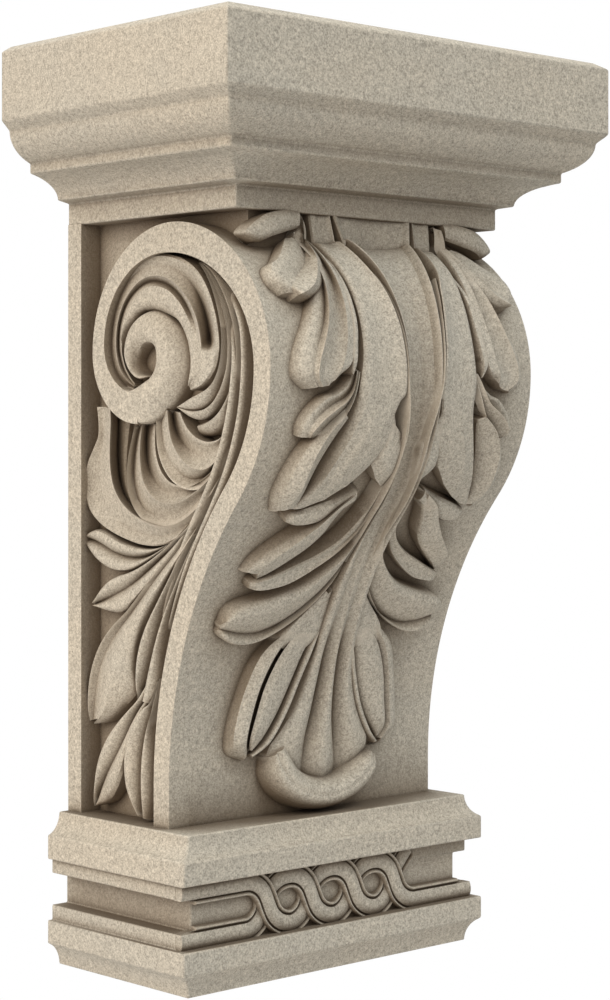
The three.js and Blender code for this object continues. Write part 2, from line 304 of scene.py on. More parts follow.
def vector_math(tree: bpy.types.NodeTree, operation: str, *values: Field) -> Field:
    """Adds a Vector Math node whose result is a vector.

    Args:
        tree: The node tree.
        operation: The node's operation.
        *values: Its vectors, in order.

    Returns:
        The node's result.
    """
    return node_field(tree, "ShaderNodeVectorMath", dict(enumerate(values)), operation=operation)


def scaled(tree: bpy.types.NodeTree, vector: Field, scale: "Field | float") -> Field:
    """A vector times a number."""
    return node_field(tree, "ShaderNodeVectorMath", {0: vector, "Scale": scale}, operation="SCALE")


def mixed_colour(tree: bpy.types.NodeTree, first: object, second: object, share: Field) -> Field:
    """Mix of two colours.

    Args:
        tree: The node tree.
        first: Colour at share 0.
        second: Colour at share 1.
        share: How much of the second.

    Returns:
        The mixed colour.
    """
    first_slot, second_slot, result_slot = 6, 7, 2
    inputs = {"Factor": share, first_slot: first, second_slot: second}
    return node_field(tree, "ShaderNodeMix", inputs, result_slot, data_type="RGBA")


class CarvingTree:
    """Geometry node tree that lofts one carved form over its rails and lays it on the ground behind it.

    The section runs over the top, then back along both feet to its start. Each end of the form has one more
    row at its foot and one that is drawn together into a pole.
    """

    closing_columns: float = 3.0
    end_rows: float = 2.0
    least_rounding: float = 0.01
    weld: float = 0.002

    def __init__(self) -> None:
        """Builds the tree with its named inputs."""
        self.tree = bpy.data.node_groups.new("carved_form", "GeometryNodeTree")
        self.identifiers: dict[str, str] = {}
        for name, kind in (
            ("Rails", "NodeSocketObject"),
            ("Ground", "NodeSocketObject"),
            ("Strips", "NodeSocketInt"),
            ("Across", "NodeSocketInt"),
            ("Along", "NodeSocketInt"),
            ("Pieces", "NodeSocketInt"),
            ("Foot", "NodeSocketFloat"),
            ("First Rounding", "NodeSocketFloat"),
            ("Last Rounding", "NodeSocketFloat"),
            ("Material", "NodeSocketMaterial"),
        ):
            socket = self.tree.interface.new_socket(name, in_out="INPUT", socket_type=kind)
            self.identifiers[name] = socket.identifier
        self.tree.interface.new_socket("Stone", in_out="OUTPUT", socket_type="NodeSocketGeometry")
        self.source = self.tree.nodes.new("NodeGroupInput")
        self._build()

    def _curve(self, source: Field, smooth: "Field | int") -> Field:
        """The curve of an object, smoothed through its points.

        Args:
            source: Object socket.
            smooth: Pieces between two of its points.

        Returns:
            Curve geometry.
        """
        shape = node_field(self.tree, "GeometryNodeObjectInfo", {"Object": source}, "Geometry")
        kind = "GeometryNodeCurveSplineType"
        spline = node_field(self.tree, kind, {"Curve": shape}, spline_type="CATMULL_ROM")
        return node_field(self.tree, "GeometryNodeSetSplineResolution", {0: spline, "Resolution": smooth})

    def _stations(self, curve: Field) -> Field:
        """The curve with a point at each of its stations, as many on one rail as on the next."""
        return node_field(self.tree, "GeometryNodeResampleCurve", {"Curve": curve}, mode="EVALUATED")

    def _station(self, curve: Field, number: Field, kind: str, value: Field) -> Field:
        """What one station holds.

        Args:
            curve: The curve with its stations.
            number: The station's number, counted through all rails.
            kind: Type of the value.
            value: Field to read there.

        Returns:
            The value.
        """
        inputs = {"Geometry": curve, "Value": value, "Index": number}
        return node_field(self.tree, "GeometryNodeSampleIndex", inputs, data_type=kind, domain="POINT")

    def _ground(self, length: Field) -> tuple[Field, Field]:
        """Place and direction on the ground's profile.

        Args:
            length: How far along the profile.

        Returns:
            Position and tangent.
        """
        curve = self._curve(Field(self.tree, self.source.outputs["Ground"]), 1)
        inputs = {"Curves": curve, "Length": length}
        node = add_node(self.tree, "GeometryNodeSampleCurve", inputs, mode="LENGTH")
        return Field(self.tree, node.outputs["Position"]), Field(self.tree, node.outputs["Tangent"])

    def _edge_drop(self, flat: Field, edge: Field, rounding: Field) -> Field:
        """How far a rounded edge lies below the form's top.

        Args:
            flat: Place across and up.
            edge: The edge's rail at this row.
            rounding: Radius of the rounding.

        Returns:
            The drop, nought beyond the radius.
        """
        x, y, _ = split_field(self.tree, edge)
        ends = {0: flat, 1: join_fields(self.tree, x, y, 0.0)}
        distance = node_field(self.tree, "ShaderNodeVectorMath", ends, "Value", operation="DISTANCE")
        gap = (1.0 - distance / rounding.most(self.least_rounding)).most(0.0)
        return (1.0 - (1.0 - gap * gap).math("SQRT")) * rounding

    def _build(self) -> None:
        """Lays out the lattice, lofts it, rounds its edges, closes it and bends it over the ground."""
        tree = self.tree
        inputs = {name: Field(tree, self.source.outputs[name]) for name in self.identifiers}
        width = inputs["Strips"] * inputs["Across"]
        rows = inputs["Along"] + (1.0 + 2.0 * self.end_rows)
        columns = width + (1.0 + self.closing_columns)
        lattice = {"Size X": 1.0, "Size Y": 1.0, "Vertices X": columns, "Vertices Y": rows}
        grid = node_field(tree, "GeometryNodeMeshGrid", lattice, "Mesh")

        # Halves keep whole numbers on the right side of each comparison
        index = node_field(tree, "GeometryNodeInputIndex")
        column = ((index + 0.5) / rows).floor()
        row = index - column * rows
        is_foot_column = column.above(width + 0.5) - column.above(width + 2.5)
        place = column.least(width) * (1.0 - column.above(width + 1.5))
        is_end_row = (1.5 - row).above(0.0) + row.above(inputs["Along"] + 2.5)
        is_pole = (0.5 - row).above(0.0) + row.above(inputs["Along"] + 3.5)

        rails = self._stations(self._curve(inputs["Rails"], inputs["Pieces"]))
        position = node_field(tree, "GeometryNodeInputPosition")
        tilt = node_field(tree, "GeometryNodeInputCurveTilt")
        strip = (place / inputs["Across"]).floor().least(inputs["Strips"] - 1.0)
        step = place / inputs["Across"] - strip
        stations = inputs["Along"] + 1.0
        along = (row - self.end_rows).most(0.0).least(inputs["Along"])
        near = strip * stations + along
        left = self._station(rails, near, "FLOAT_VECTOR", position)
        right = self._station(rails, near + stations, "FLOAT_VECTOR", position)
        first = self._station(rails, along, "FLOAT_VECTOR", position)
        last = self._station(rails, inputs["Strips"] * stations + along, "FLOAT_VECTOR", position)
        left_parts, right_parts = split_field(tree, left), split_field(tree, right)
        across, up, rise = (a.toward(b, step) for a, b in zip(left_parts, right_parts))

        # A strip swells most in its middle, where step times what is left of it is a quarter
        swell = self._station(rails, near, "FLOAT", tilt)
        rise = rise + swell * step * (1.0 - step) * 4.0

        flat = join_fields(tree, across, up, 0.0)
        drop = self._edge_drop(flat, first, inputs["First Rounding"])
        drop = drop.most(self._edge_drop(flat, last, inputs["Last Rounding"]))
        rise = (rise - drop).most(inputs["Foot"]).toward(inputs["Foot"], is_foot_column.most(is_end_row))
        middle_x, middle_y, _ = split_field(tree, scaled(tree, vector_math(tree, "ADD", first, last), 0.5))
        across = across.toward(middle_x, is_pole)
        up = up.toward(middle_y, is_pole)

        base, tangent = self._ground(up)
        outward = vector_math(tree, "CROSS_PRODUCT", join_fields(tree, 1.0, 0.0, 0.0), tangent)
        foot = vector_math(tree, "ADD", base, join_fields(tree, across, 0.0, 0.0))
        laid = vector_math(tree, "ADD", foot, scaled(tree, outward, rise))
        placed = node_field(tree, "GeometryNodeSetPosition", {"Geometry": grid, "Position": laid})
        joint = {"Geometry": placed, "Distance": self.weld}
        welded = node_field(tree, "GeometryNodeMergeByDistance", joint)
        real = node_field(tree, "GeometryNodeRealizeInstances", {"Geometry": welded})
        dress = {"Geometry": real, "Material": inputs["Material"]}
        dressed = node_field(tree, "GeometryNodeSetMaterial", dress)
        target = tree.nodes.new("NodeGroupOutput")
        feed(tree, target.inputs["Stone"], dressed)


@dataclass
class Shell:
    """Vertices and faces of a mesh, with tools to turn, mirror and join it."""

    points: np.ndarray
    corners: np.ndarray
    starts: np.ndarray

    @classmethod
    def of(cls, mesh: bpy.types.Mesh) -> "Shell":
        """Reads a mesh.

        Args:
            mesh: The mesh.

        Returns:
            Its shell.
        """
        points = np.empty(len(mesh.vertices) * 3)
        mesh.vertices.foreach_get("co", points)
        corners = np.empty(len(mesh.loops), dtype=np.int32)
        mesh.loops.foreach_get("vertex_index", corners)
        starts = np.empty(len(mesh.polygons), dtype=np.int32)
        mesh.polygons.foreach_get("loop_start", starts)
        return cls(points.reshape(-1, 3), corners, starts)

    def volume(self) -> float:
        """Signed volume, positive where the faces look outward.

        Returns:
            The volume, in cubic millimetres.
        """
        total = 0.0
        counts = np.append(self.starts[1:], len(self.corners)) - self.starts
        for size in np.unique(counts):
            firsts = self.starts[counts == size]
            ring = [self.points[self.corners[firsts + k]] for k in range(size)]
            for k in range(1, size - 1):
                total += float(np.einsum("ij,ij->i", ring[0], np.cross(ring[k], ring[k + 1])).sum())
        return total / 6.0

    def flipped(self) -> "Shell":
        """The same shell with its faces turned round.

        Returns:
            The turned shell.
        """
        ends = np.append(self.starts[1:], len(self.corners))
        owner = np.repeat(np.arange(len(self.starts)), ends - self.starts)
        order = self.starts[owner] + ends[owner] - 1 - np.arange(len(self.corners))
        return Shell(self.points, self.corners[order], self.starts)

    def outward(self) -> "Shell":
        """The shell with its faces looking outward."""
        return self if self.volume() > 0 else self.flipped()

    def moved(self, matrix: np.ndarray) -> "Shell":
        """The shell through a 3 by 3 matrix.

        Args:
            matrix: Rows of the matrix.

        Returns:
            The moved shell, which still looks outward.
        """
        made = Shell(self.points @ matrix.T, self.corners, self.starts)
        return made.flipped() if np.linalg.det(matrix) < 0 else made

    @staticmethod
    def joined(shells: list["Shell"]) -> "Shell":
        """Puts shells together in one.

        Args:
            shells: The shells.

        Returns:
            One shell that holds them all.
        """
        points, corners, starts = [], [], []
        count = loops = 0
        for shell in shells:
            points.append(shell.points)
            corners.append(shell.corners + count)
            starts.append(shell.starts + loops)
            count += len(shell.points)
            loops += len(shell.corners)
        return Shell(np.concatenate(points), np.concatenate(corners), np.concatenate(starts))

    def mesh(self, name: str) -> bpy.types.Mesh:
        """Makes a Blender mesh in metres, centred on the stone's half height.

        Args:
            name: The mesh's name.

        Returns:
            The mesh.
        """
        made = bpy.data.meshes.new(name)
        made.vertices.add(len(self.points))
        made.vertices.foreach_set("co", ((self.points - (0.0, 0.0, HALF_HEIGHT)) * MM).ravel())
        made.loops.add(len(self.corners))
        made.loops.foreach_set("vertex_index", self.corners)
        made.polygons.add(len(self.starts))
        made.polygons.foreach_set("loop_start", self.starts)
        made.update(calc_edges=True)
        made.validate()
        return made


@dataclass(frozen=True)
class Form:
    """One carved form, lofted from its first rail to its last; each rail is a path of (across, up, rise).

    The rails of one form have the same number of points. A strip's swell is one number, or one for each
    point.
    """

    rails: tuple[Path, ...]
    swell: tuple["float | tuple[float, ...]", ...] = (0.0,)
    rounding: tuple[float, float] = (1.2, 1.2)
    foot: float = -1.5
    across: int = 8
    along: int = 6

    @classmethod
    def of(cls, text: str, **section: object) -> "Form":
        """A form whose rails are written out as text, with what else it needs by name."""
        return cls(read_rails(text), **section)


def read_rails(text: str) -> tuple[Path, ...]:
    """Reads rails written out as text.

    Args:
        text: Across, up and rise of each point, with a comma between points and a semicolon between rails.

    Returns:
        The rails.
    """
    return tuple(
        tuple(tuple(float(part) for part in point.split()) for point in rail.split(","))
        for rail in text.split(";")
    )


class Carver:
    """Runs the carving tree on one form after another."""

    def __init__(self, ground: list[Corner], material: bpy.types.Material) -> None:
        """Sets up the ground and the host object.

        Args:
            ground: Depth and height of each point of the ground's profile.
            material: What the forms are made of.
        """
        self.tree = CarvingTree()
        self.material = material
        profile = np.array(ground)
        steps = np.hypot(*np.diff(profile, axis=0).T)
        self.lengths = np.concatenate([[0.0], np.cumsum(steps)])
        self.heights = profile[:, 1]
        self.ground = self._curve_object("ground", [[(0.0, -d, h) for d, h in ground]], [0.0])
        self.host = bpy.data.objects.new("host", bpy.data.meshes.new("host"))
        bpy.context.collection.objects.link(self.host)

    @staticmethod
    def _curve_object(
        name: str, rails: list[list[Point]], swell: list["float | tuple[float, ...]"]
    ) -> bpy.types.Object:
        """A curve object with one open spline for each rail.

        Args:
            name: The object's name.
            rails: Points of each rail.
            swell: What each rail's points carry as their tilt.

        Returns:
            The object, linked to the scene.
        """
        curve = bpy.data.curves.new(name, "CURVE")
        curve.dimensions = "3D"
        for points, value in zip(rails, swell):
            spline = curve.splines.new("POLY")
            spline.points.add(len(points) - 1)
            for target, point, tilt in zip(spline.points, points, np.broadcast_to(value, len(points))):
                target.co = (*point, 1.0)
                target.tilt = float(tilt)
        made = bpy.data.objects.new(name, curve)
        bpy.context.collection.objects.link(made)
        return made

    def carve(self, form: Form) -> Shell:
        """Makes one form.

        Args:
            form: The form's rails and section.

        Returns:
            Its closed shell, in millimetres.
        """
        swell = [form.swell[min(k, len(form.swell) - 1)] for k in range(len(form.rails))]
        rails = [
            [(x, float(np.interp(up, self.heights, self.lengths)), rise) for x, up, rise in rail]
            for rail in form.rails
        ]
        source = self._curve_object("rails", rails, swell)
        modifier = self.host.modifiers.new("carving", "NODES")
        modifier.node_group = self.tree.tree
        for name, value in (
            ("Rails", source),
            ("Ground", self.ground),
            ("Strips", len(form.rails) - 1),
            ("Across", form.across),
            ("Along", (len(form.rails[0]) - 1) * form.along),
            ("Pieces", form.along),
            ("Foot", form.foot),
            ("First Rounding", form.rounding[0]),
            ("Last Rounding", form.rounding[1]),
            ("Material", self.material),
        ):
            modifier[self.tree.identifiers[name]] = value
        self.host.update_tag()
        graph = bpy.context.evaluated_depsgraph_get()
        graph.update()
        mesh = bpy.data.meshes.new_from_object(self.host.evaluated_get(graph))
        shell = Shell.of(mesh).outward()
        self.host.modifiers.remove(modifier)
        curve = source.data
        bpy.data.objects.remove(source)
        bpy.data.curves.remove(curve)
        bpy.data.meshes.remove(mesh)
        return shell

    def close(self) -> None:
        """Removes the host and the ground."""
        curve = self.ground.data
        bpy.data.objects.remove(self.ground)
        bpy.data.curves.remove(curve)
        mesh = self.host.data
        bpy.data.objects.remove(self.host)
        bpy.data.meshes.remove(mesh)


def arc_levels(first: Point, last: Point, sweep: float = 1.3, steps: int = 12) -> list[Point]:
    """Levels along an arc that leaves the first one upright.

    Args:
        first: Height, half width and depth where it starts.
        last: The same where it ends.
        sweep: How far round the arc goes, in radians, at most a quarter turn.
        steps: How many straight pieces make it.

    Returns:
        The levels from first to last.
    """
    levels = []
    for angle in np.linspace(0.0, sweep, steps + 1):
        climb = math.sin(angle) / math.sin(sweep)
        spread = (1.0 - math.cos(angle)) / (1.0 - math.cos(sweep))
        shares = (climb, spread, spread)
        levels.append(tuple(a + (b - a) * share for a, b, share in zip(first, last, shares)))
    return levels


def moulded_block(levels: list[Point]) -> Shell:
    """A block against the wall whose plan is a rectangle at each level.

    Args:
        levels: Height, half width and depth of each level, from the foot up.

    Returns:
        The closed block.
    """
    plan = ((-1, 0), (-1, -1), (1, -1), (1, 0))
    points = [(x * half, y * depth, z) for z, half, depth in levels for x, y in plan]
    faces = [[0, 1, 2, 3], [4 * (len(levels) - 1) + k for k in (3, 2, 1, 0)]]
    for level in range(len(levels) - 1):
        for side in range(4):
            a, b = 4 * level + side, 4 * level + (side + 1) % 4
            faces.append([b, a, a + 4, b + 4])
    return polygons(points, faces)


def polygons(points: list[Point], faces: list[list[int]]) -> Shell:
    """A shell from lists of points and faces.

    Args:
        points: The points.
        faces: The points of each face, by number.

    Returns:
        The shell, looking outward.
    """
    sizes = np.array([len(face) for face in faces])
    starts = np.concatenate([[0], np.cumsum(sizes)[:-1]]).astype(np.int32)
    corners = np.array([corner for face in faces for corner in face], dtype=np.int32)
    return Shell(np.array(points, dtype=float), corners, starts).outward()


def prism(outline: list[Corner], left: float, right: float) -> Shell:
    """An outline in depth and height, drawn out across the stone.

    Args:
        outline: Depth and height of each corner.
        left: Where it starts across the stone.
        right: Where it ends.

    Returns:
        The closed prism.
    """
    outline = [point for k, point in enumerate(outline) if math.dist(point, outline[k - 1]) > CLOSE]
    count = len(outline)
    points = [(x, -depth, height) for x in (left, right) for depth, height in outline]
    faces = [list(range(count)), list(range(2 * count - 1, count - 1, -1))]
    faces += [[k, (k + 1) % count, count + (k + 1) % count, count + k] for k in range(count)]
    return polygons(points, faces)


class Side(Enum):
    """Sides of the stone, by the sign of their place across it."""

    LEFT = -1.0
    RIGHT = 1.0


class Strap(Enum):
    """The two straps, by the side of their middle height that they start on."""

    HIGH = 1.0
    LOW = -1.0


class ShaderGroups:
    """Shader node groups that every finish of the stone shares."""

    # Grain: rate of the broad specks beside the fine ones, and the fine ones' share in colour and relief
    broad_rate: float = 0.37
    fine_share: float = 0.62
    relief_share: float = 0.6
    # Tone: rate and stretch of the beds beside the patches, the patches' share and the contrast of both
    bed_rate: float = 0.7
    bed_stretch: Point = (0.5, 0.5, 4.0)
    patch_share: float = 0.6
    tone_contrast: float = 3.0
    # Painted shade in hollows and crevices, and wear on the arrises: where each mask starts and how fast it
    # grows
    hollow_shade_gain: float = 1.5
    crease_shade_start: float = 0.82
    crease_shade_gain: float = 2.0
    arris_start: float = 0.35
    arris_gain: float = 2.2
    arris_base: float = 0.4
    arris_patches: float = 180.0
    # Painted shade on ledges: how far up they face, how fast their mask grows there and in hollows, and its
    # share of each painted shade mask
    ledge_start: float = 0.8
    ledge_gain: float = 5.0
    ledge_hollow_gain: float = 2.6
    ledge_hollow_shade_share: float = 0.85
    ledge_crease_shade_share: float = 0.6

    def __init__(self) -> None:
        """Builds the groups once."""
        self.grain = self._grain()
        self.tone = self._tone()
        self.shade_and_wear = self._shade_and_wear()

    @staticmethod
    def _group(
        name: str, inputs: dict[str, str], outputs: dict[str, str]
    ) -> tuple[bpy.types.NodeTree, dict[str, Field], bpy.types.Node]:
        """Starts a group.

        Args:
            name: Its name.
            inputs: Socket type of each input.
            outputs: Socket type of each output.

        Returns:
            The tree, the input fields by name and the output node.
        """
        tree = bpy.data.node_groups.new(name, "ShaderNodeTree")
        for label, kind in inputs.items():
            tree.interface.new_socket(label, in_out="INPUT", socket_type=kind)
        for label, kind in outputs.items():
            tree.interface.new_socket(label, in_out="OUTPUT", socket_type=kind)
        source = tree.nodes.new("NodeGroupInput")
        target = tree.nodes.new("NodeGroupOutput")
        return tree, {label: Field(tree, source.outputs[label]) for label in inputs}, target

    @staticmethod
    def _noise(
        tree: bpy.types.NodeTree, place: Field, scale: "Field | float", detail: float, roughness: float = 0.5
    ) -> Field:
        """Value of a noise texture.

        Args:
            tree: The node tree.
            place: Where it is read.
            scale: Its scale.
            detail: Its octaves.
            roughness: How strong the fine octaves are.

        Returns:
            The noise, from about 0.2 to 0.8.
        """
        inputs = {"Vector": place, "Scale": scale, "Detail": detail, "Roughness": roughness}
        return node_field(tree, "ShaderNodeTexNoise", inputs)

    def _grain(self) -> bpy.types.NodeTree:
        """Sand grains: light and dark specks, and their relief.

        Returns:
            The group's tree.
        """
        tree, given, target = self._group(
            "sand_grain",
            {"Place": "NodeSocketVector", "Grain": "NodeSocketFloat", "Contrast": "NodeSocketFloat"},
            {"Speck": "NodeSocketFloat", "Relief": "NodeSocketFloat"},
        )
        rate = as_field(tree, 1.0) / given["Grain"]
        fine = self._noise(tree, given["Place"], rate, detail=1.0)
        broad = self._noise(tree, given["Place"], rate * self.broad_rate, detail=2.0)
        specks = fine * self.fine_share + broad * (1.0 - self.fine_share) - 0.5
        feed(tree, target.inputs["Speck"], specks * given["Contrast"] + 0.5)
        relief = fine * self.relief_share + broad * (1.0 - self.relief_share)
        feed(tree, target.inputs["Relief"], relief)
        return tree

    def _tone(self) -> bpy.types.NodeTree:
        """Slow change between two tones of the stone, in soft beds and patches.

        Returns:
            The group's tree.
        """
        tree, given, target = self._group(
            "bed_tone",
            {
                "Place": "NodeSocketVector",
                "Warm": "NodeSocketColor",
                "Cool": "NodeSocketColor",
                "Patch": "NodeSocketFloat",
            },
            {"Color": "NodeSocketColor"},
        )
        rate = as_field(tree, 1.0) / given["Patch"]
        patch = self._noise(tree, given["Place"], rate, detail=4.0, roughness=0.6)
        stretch = vector_math(tree, "MULTIPLY", given["Place"], join_fields(tree, *self.bed_stretch))
        bed = self._noise(tree, stretch, rate * self.bed_rate, detail=3.0)
        blend = patch * self.patch_share + bed * (1.0 - self.patch_share) - 0.5
        share = (blend * self.tone_contrast + 0.5).most(0.0).least(1.0)
        feed(tree, target.inputs["Color"], mixed_colour(tree, given["Warm"], given["Cool"], share))
        return tree

    def _shade_and_wear(self) -> bpy.types.NodeTree:
        """Masks of the painted shade in hollows, crevices and on sheltered ledges, and of the arrises that
        are rubbed.

        Returns:
            The group's tree.
        """
        tree, given, target = self._group(
            "hollows_and_arrises",
            {
                "Place": "NodeSocketVector",
                "Hollow Reach": "NodeSocketFloat",
                "Crevice Reach": "NodeSocketFloat",
                "Arris Reach": "NodeSocketFloat",
            },
            {"Hollow": "NodeSocketFloat", "Crevice": "NodeSocketFloat", "Arris": "NodeSocketFloat"},
        )
        kind = "ShaderNodeAmbientOcclusion"
        inside = {"samples": 4, "inside": True, "only_local": True}
        # Painted shade: hollows darken by how little open sky the ambient occlusion finds round them
        open_sky = node_field(tree, kind, {"Distance": given["Hollow Reach"]}, "AO", samples=8)
        hollow = 1.0 - open_sky
        # Painted shade: crevices darken by how closely the surface round them shuts them in
        close = node_field(tree, kind, {"Distance": given["Crevice Reach"]}, "AO", samples=4)
        crevice = self.crease_shade_start - close
        arris = 1.0 - node_field(tree, kind, {"Distance": given["Arris Reach"]}, "AO", **inside)
        patches = self._noise(tree, given["Place"], self.arris_patches, detail=3.0)
        # Painted shade on upward faces that sit in hollows, such as ledges
        upward = split_field(tree, node_field(tree, "ShaderNodeNewGeometry", output="Normal"))[2]
        ledge = (upward - self.ledge_start).most(0.0) * self.ledge_gain
        ledge = ledge * (hollow * self.ledge_hollow_gain).least(1.0)
        hollow_shade = (hollow * self.hollow_shade_gain).most(ledge * self.ledge_hollow_shade_share)
        crease_shade = (crevice * self.crease_shade_gain).most(ledge * self.ledge_crease_shade_share)
        rubbed = (arris - self.arris_start) * self.arris_gain * (patches + self.arris_base)
        feed(tree, target.inputs["Hollow"], hollow_shade.least(1.0))
        feed(tree, target.inputs["Crevice"], crease_shade.least(1.0))
        feed(tree, target.inputs["Arris"], rubbed.most(0.0).least(1.0))
        return tree


@dataclass(frozen=True)
class SandstoneFinish:
    """The sandstone's finish: colours, grain, painted shade in hollows and crevices, and rubbed arrises;
    lengths in metres.
    """

    warm: tuple[float, float, float, float] = (0.475, 0.430, 0.348, 1.0)
    cool: tuple[float, float, float, float] = (0.437, 0.408, 0.342, 1.0)
    hollow_shade_tint: tuple[float, float, float, float] = (0.170, 0.125, 0.080, 1.0)
    crease_shade_tint: tuple[float, float, float, float] = (0.060, 0.042, 0.026, 1.0)
    rubbed: tuple[float, float, float, float] = (0.560, 0.500, 0.405, 1.0)
    grain: float = 0.0007
    contrast: float = 0.85
    patch: float = 0.06
    hollow_reach: float = 0.028
    crevice_reach: float = 0.003
    arris_reach: float = 0.0014
    speck_gain: float = 2.4
    least_speck: float = 0.3
    hollow_shade_share: float = 0.9
    crease_shade_share: float = 0.8
    rubbed_share: float = 0.5
    roughness: float = 0.84
    grain_roughness: float = 0.12
    relief: float = 0.00035
    relief_strength: float = 0.8
    specular: float = 0.25

    def material(self, name: str, groups: ShaderGroups) -> bpy.types.Material:
        """Makes the material.

        Args:
            name: The material's name.
            groups: The shared shader groups.

        Returns:
            The material.
        """
        made = bpy.data.materials.new(name)
        made.use_nodes = True
        tree = made.node_tree
        shader = tree.nodes["Principled BSDF"]
        place = node_field(tree, "ShaderNodeTexCoord", output="Object")
        grain_inputs = {"Place": place, "Grain": self.grain, "Contrast": self.contrast}
        grain = self._use(tree, groups.grain, grain_inputs)
        tone_inputs = {"Place": place, "Warm": self.warm, "Cool": self.cool, "Patch": self.patch}
        tone = self._use(tree, groups.tone, tone_inputs)
        shade_and_wear_inputs = {
            "Place": place,
            "Hollow Reach": self.hollow_reach,
            "Crevice Reach": self.crevice_reach,
            "Arris Reach": self.arris_reach,
        }
        shade_and_wear = self._use(tree, groups.shade_and_wear, shade_and_wear_inputs)
        speck = ((grain["Speck"] - 0.5) * self.speck_gain + 1.0).most(self.least_speck)
        colour = scaled(tree, tone["Color"], speck)
        # Painted shade: the colour darkens toward a deep brown in hollows
        colour = mixed_colour(tree, colour, self.hollow_shade_tint, shade_and_wear["Hollow"] * self.hollow_shade_share)
        # Painted shade: the colour darkens toward near black in crevices
        colour = mixed_colour(tree, colour, self.crease_shade_tint, shade_and_wear["Crevice"] * self.crease_shade_share)
        colour = mixed_colour(tree, colour, self.rubbed, shade_and_wear["Arris"] * self.rubbed_share)
        feed(tree, shader.inputs["Base Color"], colour)
        feed(tree, shader.inputs["Roughness"], grain["Speck"] * self.grain_roughness + self.roughness)
        relief = {"Height": grain["Relief"], "Distance": self.relief, "Strength": self.relief_strength}
        feed(tree, shader.inputs["Normal"], node_field(tree, "ShaderNodeBump", relief))
        shader.inputs["Specular IOR Level"].default_value = self.specular
        return made

    @staticmethod
    def _use(tree: bpy.types.NodeTree, group: bpy.types.NodeTree, inputs: dict) -> dict[str, Field]:
        """Places a group in a material.

        Args:
            tree: The material's tree.
            group: The group.
            inputs: Value or field of each input.

        Returns:
            Its outputs by name.
        """
        node = tree.nodes.new("ShaderNodeGroup")
        node.node_tree = group
        for name, value in inputs.items():
            feed(tree, node.inputs[name], value)
        return {output.name: Field(tree, output) for output in node.outputs}


class PieceMaker:
    """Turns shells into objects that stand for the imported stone."""

    # Width of a worn arris in millimetres, its segments and the angle in degrees from which an edge has one
    arris: float = 0.7
    arris_segments: int = 2
    arris_angle: float = 30.0

    def __init__(self, material: bpy.types.Material) -> None:
        """Keeps the stone's material."""
        self.material = material

    def place(self, name: str, shell: Shell, crease: float, arris: float = 0.0) -> bpy.types.Object:
        """Makes an object of a shell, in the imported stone's place.

        Args:
            name: The object's name.
            shell: The shell, in millimetres.
            crease: Angle in degrees above which an edge stays sharp.
            arris: Width of the worn arris along sharp edges, in millimetres.

        Returns:
            The object.
        """
        mesh = shell.mesh(name)
        mesh.shade_smooth()
        mesh.set_sharp_from_angle(angle=math.radians(crease))
        mesh.materials.append(self.material)
        piece = bpy.data.objects.new(name, mesh)
        bpy.context.collection.objects.link(piece)
        if arris:
            worn = piece.modifiers.new("arris", "BEVEL")
            worn.width = arris * MM
            worn.segments = self.arris_segments
            worn.limit_method = "ANGLE"
            worn.angle_limit = math.radians(self.arris_angle)
            worn.harden_normals = False
        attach(piece, "root")
        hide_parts("corbel")
        log.info("%s: %d faces", name, len(mesh.polygons))
        return piece


@dataclass
class Cap:
    """The moulded cap and the neck under it."""

    chamfer: float = 3.0
    chamfer_inset: float = 5.0
    fascia_foot: float = 367.5
    step_inset: float = 4.0
    step_foot: float = 363.5
    ovolo_inset: float = 15.0
    ovolo_foot: float = 350.2
    fillet_foot: float = 346.0
    cavetto_inset: float = 30.0
    cavetto_foot: float = 335.4
    neck_top: float = 334.2
    sweep: float = 1.05
    crease: float = 30.0

    def level(self, height: float, inset: float) -> Point:
        """Height, half width and depth at an inset from the cap's widest face."""
        return height, STONE.cap_width / 2 - inset, STONE.cap_depth - inset

    def build(self, maker: PieceMaker) -> bpy.types.Object:
        """Makes the cap.

        Args:
            maker: Places the piece.

        Returns:
            The cap.
        """
        foot = self.level(self.cavetto_foot, self.cavetto_inset)
        cavetto = arc_levels(foot, self.level(self.fillet_foot, self.ovolo_inset), self.sweep)
        top = self.level(self.step_foot, self.step_inset)
        ovolo = arc_levels(top, self.level(self.ovolo_foot, self.ovolo_inset), self.sweep)
        levels = [
            self.level(STONE.neck_foot, STONE.neck_inset),
            self.level(self.neck_top, STONE.neck_inset),
            *cavetto,
            *reversed(ovolo),
            self.level(self.fascia_foot, 0.0),
            self.level(STONE.height - self.chamfer, 0.0),
            self.level(STONE.height, self.chamfer_inset),
        ]
        return maker.place("cap", moulded_block(levels), self.crease, maker.arris)


@dataclass
class Plinth:
    """The plinth block with its fasciae, fillets and frieze."""

    top_half: float = 83.2
    top_depth: float = 88.0
    fascia_half: float = 89.4
    fascia_depth: float = 92.8
    upper_top: float = 57.2
    upper_foot: float = 46.9
    lower_top: float = 20.0
    lower_foot: float = 10.0
    fillet_half: float = 87.0
    frieze_half: float = 78.9
    frieze_depth: float = 84.7
    strap_width: float = 6.5
    crease: float = 30.0

    def build(self, maker: PieceMaker) -> bpy.types.Object:
        """Makes the plinth.

        Args:
            maker: Places the piece.

        Returns:
            The plinth.
        """
        fascia = (self.fascia_half, self.fascia_depth)
        end = (self.top_half, self.top_depth)
        frieze = (self.frieze_half, self.frieze_depth)
        fillet = (self.fillet_half, self.frieze_depth)
        levels = [
            *arc_levels((0.0, *end), (self.lower_foot, *fascia)),
            (self.lower_top, *fascia),
            (self.lower_top, *fillet),
            (self.lower_top + self.strap_width, *fillet),
            (self.lower_top + self.strap_width, *frieze),
            (self.upper_foot - self.strap_width, *frieze),
            (self.upper_foot - self.strap_width, *fillet),
            (self.upper_foot, *fillet),
            (self.upper_foot, *fascia),
            *reversed(arc_levels((STONE.plinth_top, *end), (self.upper_top, *fascia))),
        ]
        return maker.place("plinth", moulded_block(levels), self.crease, maker.arris)


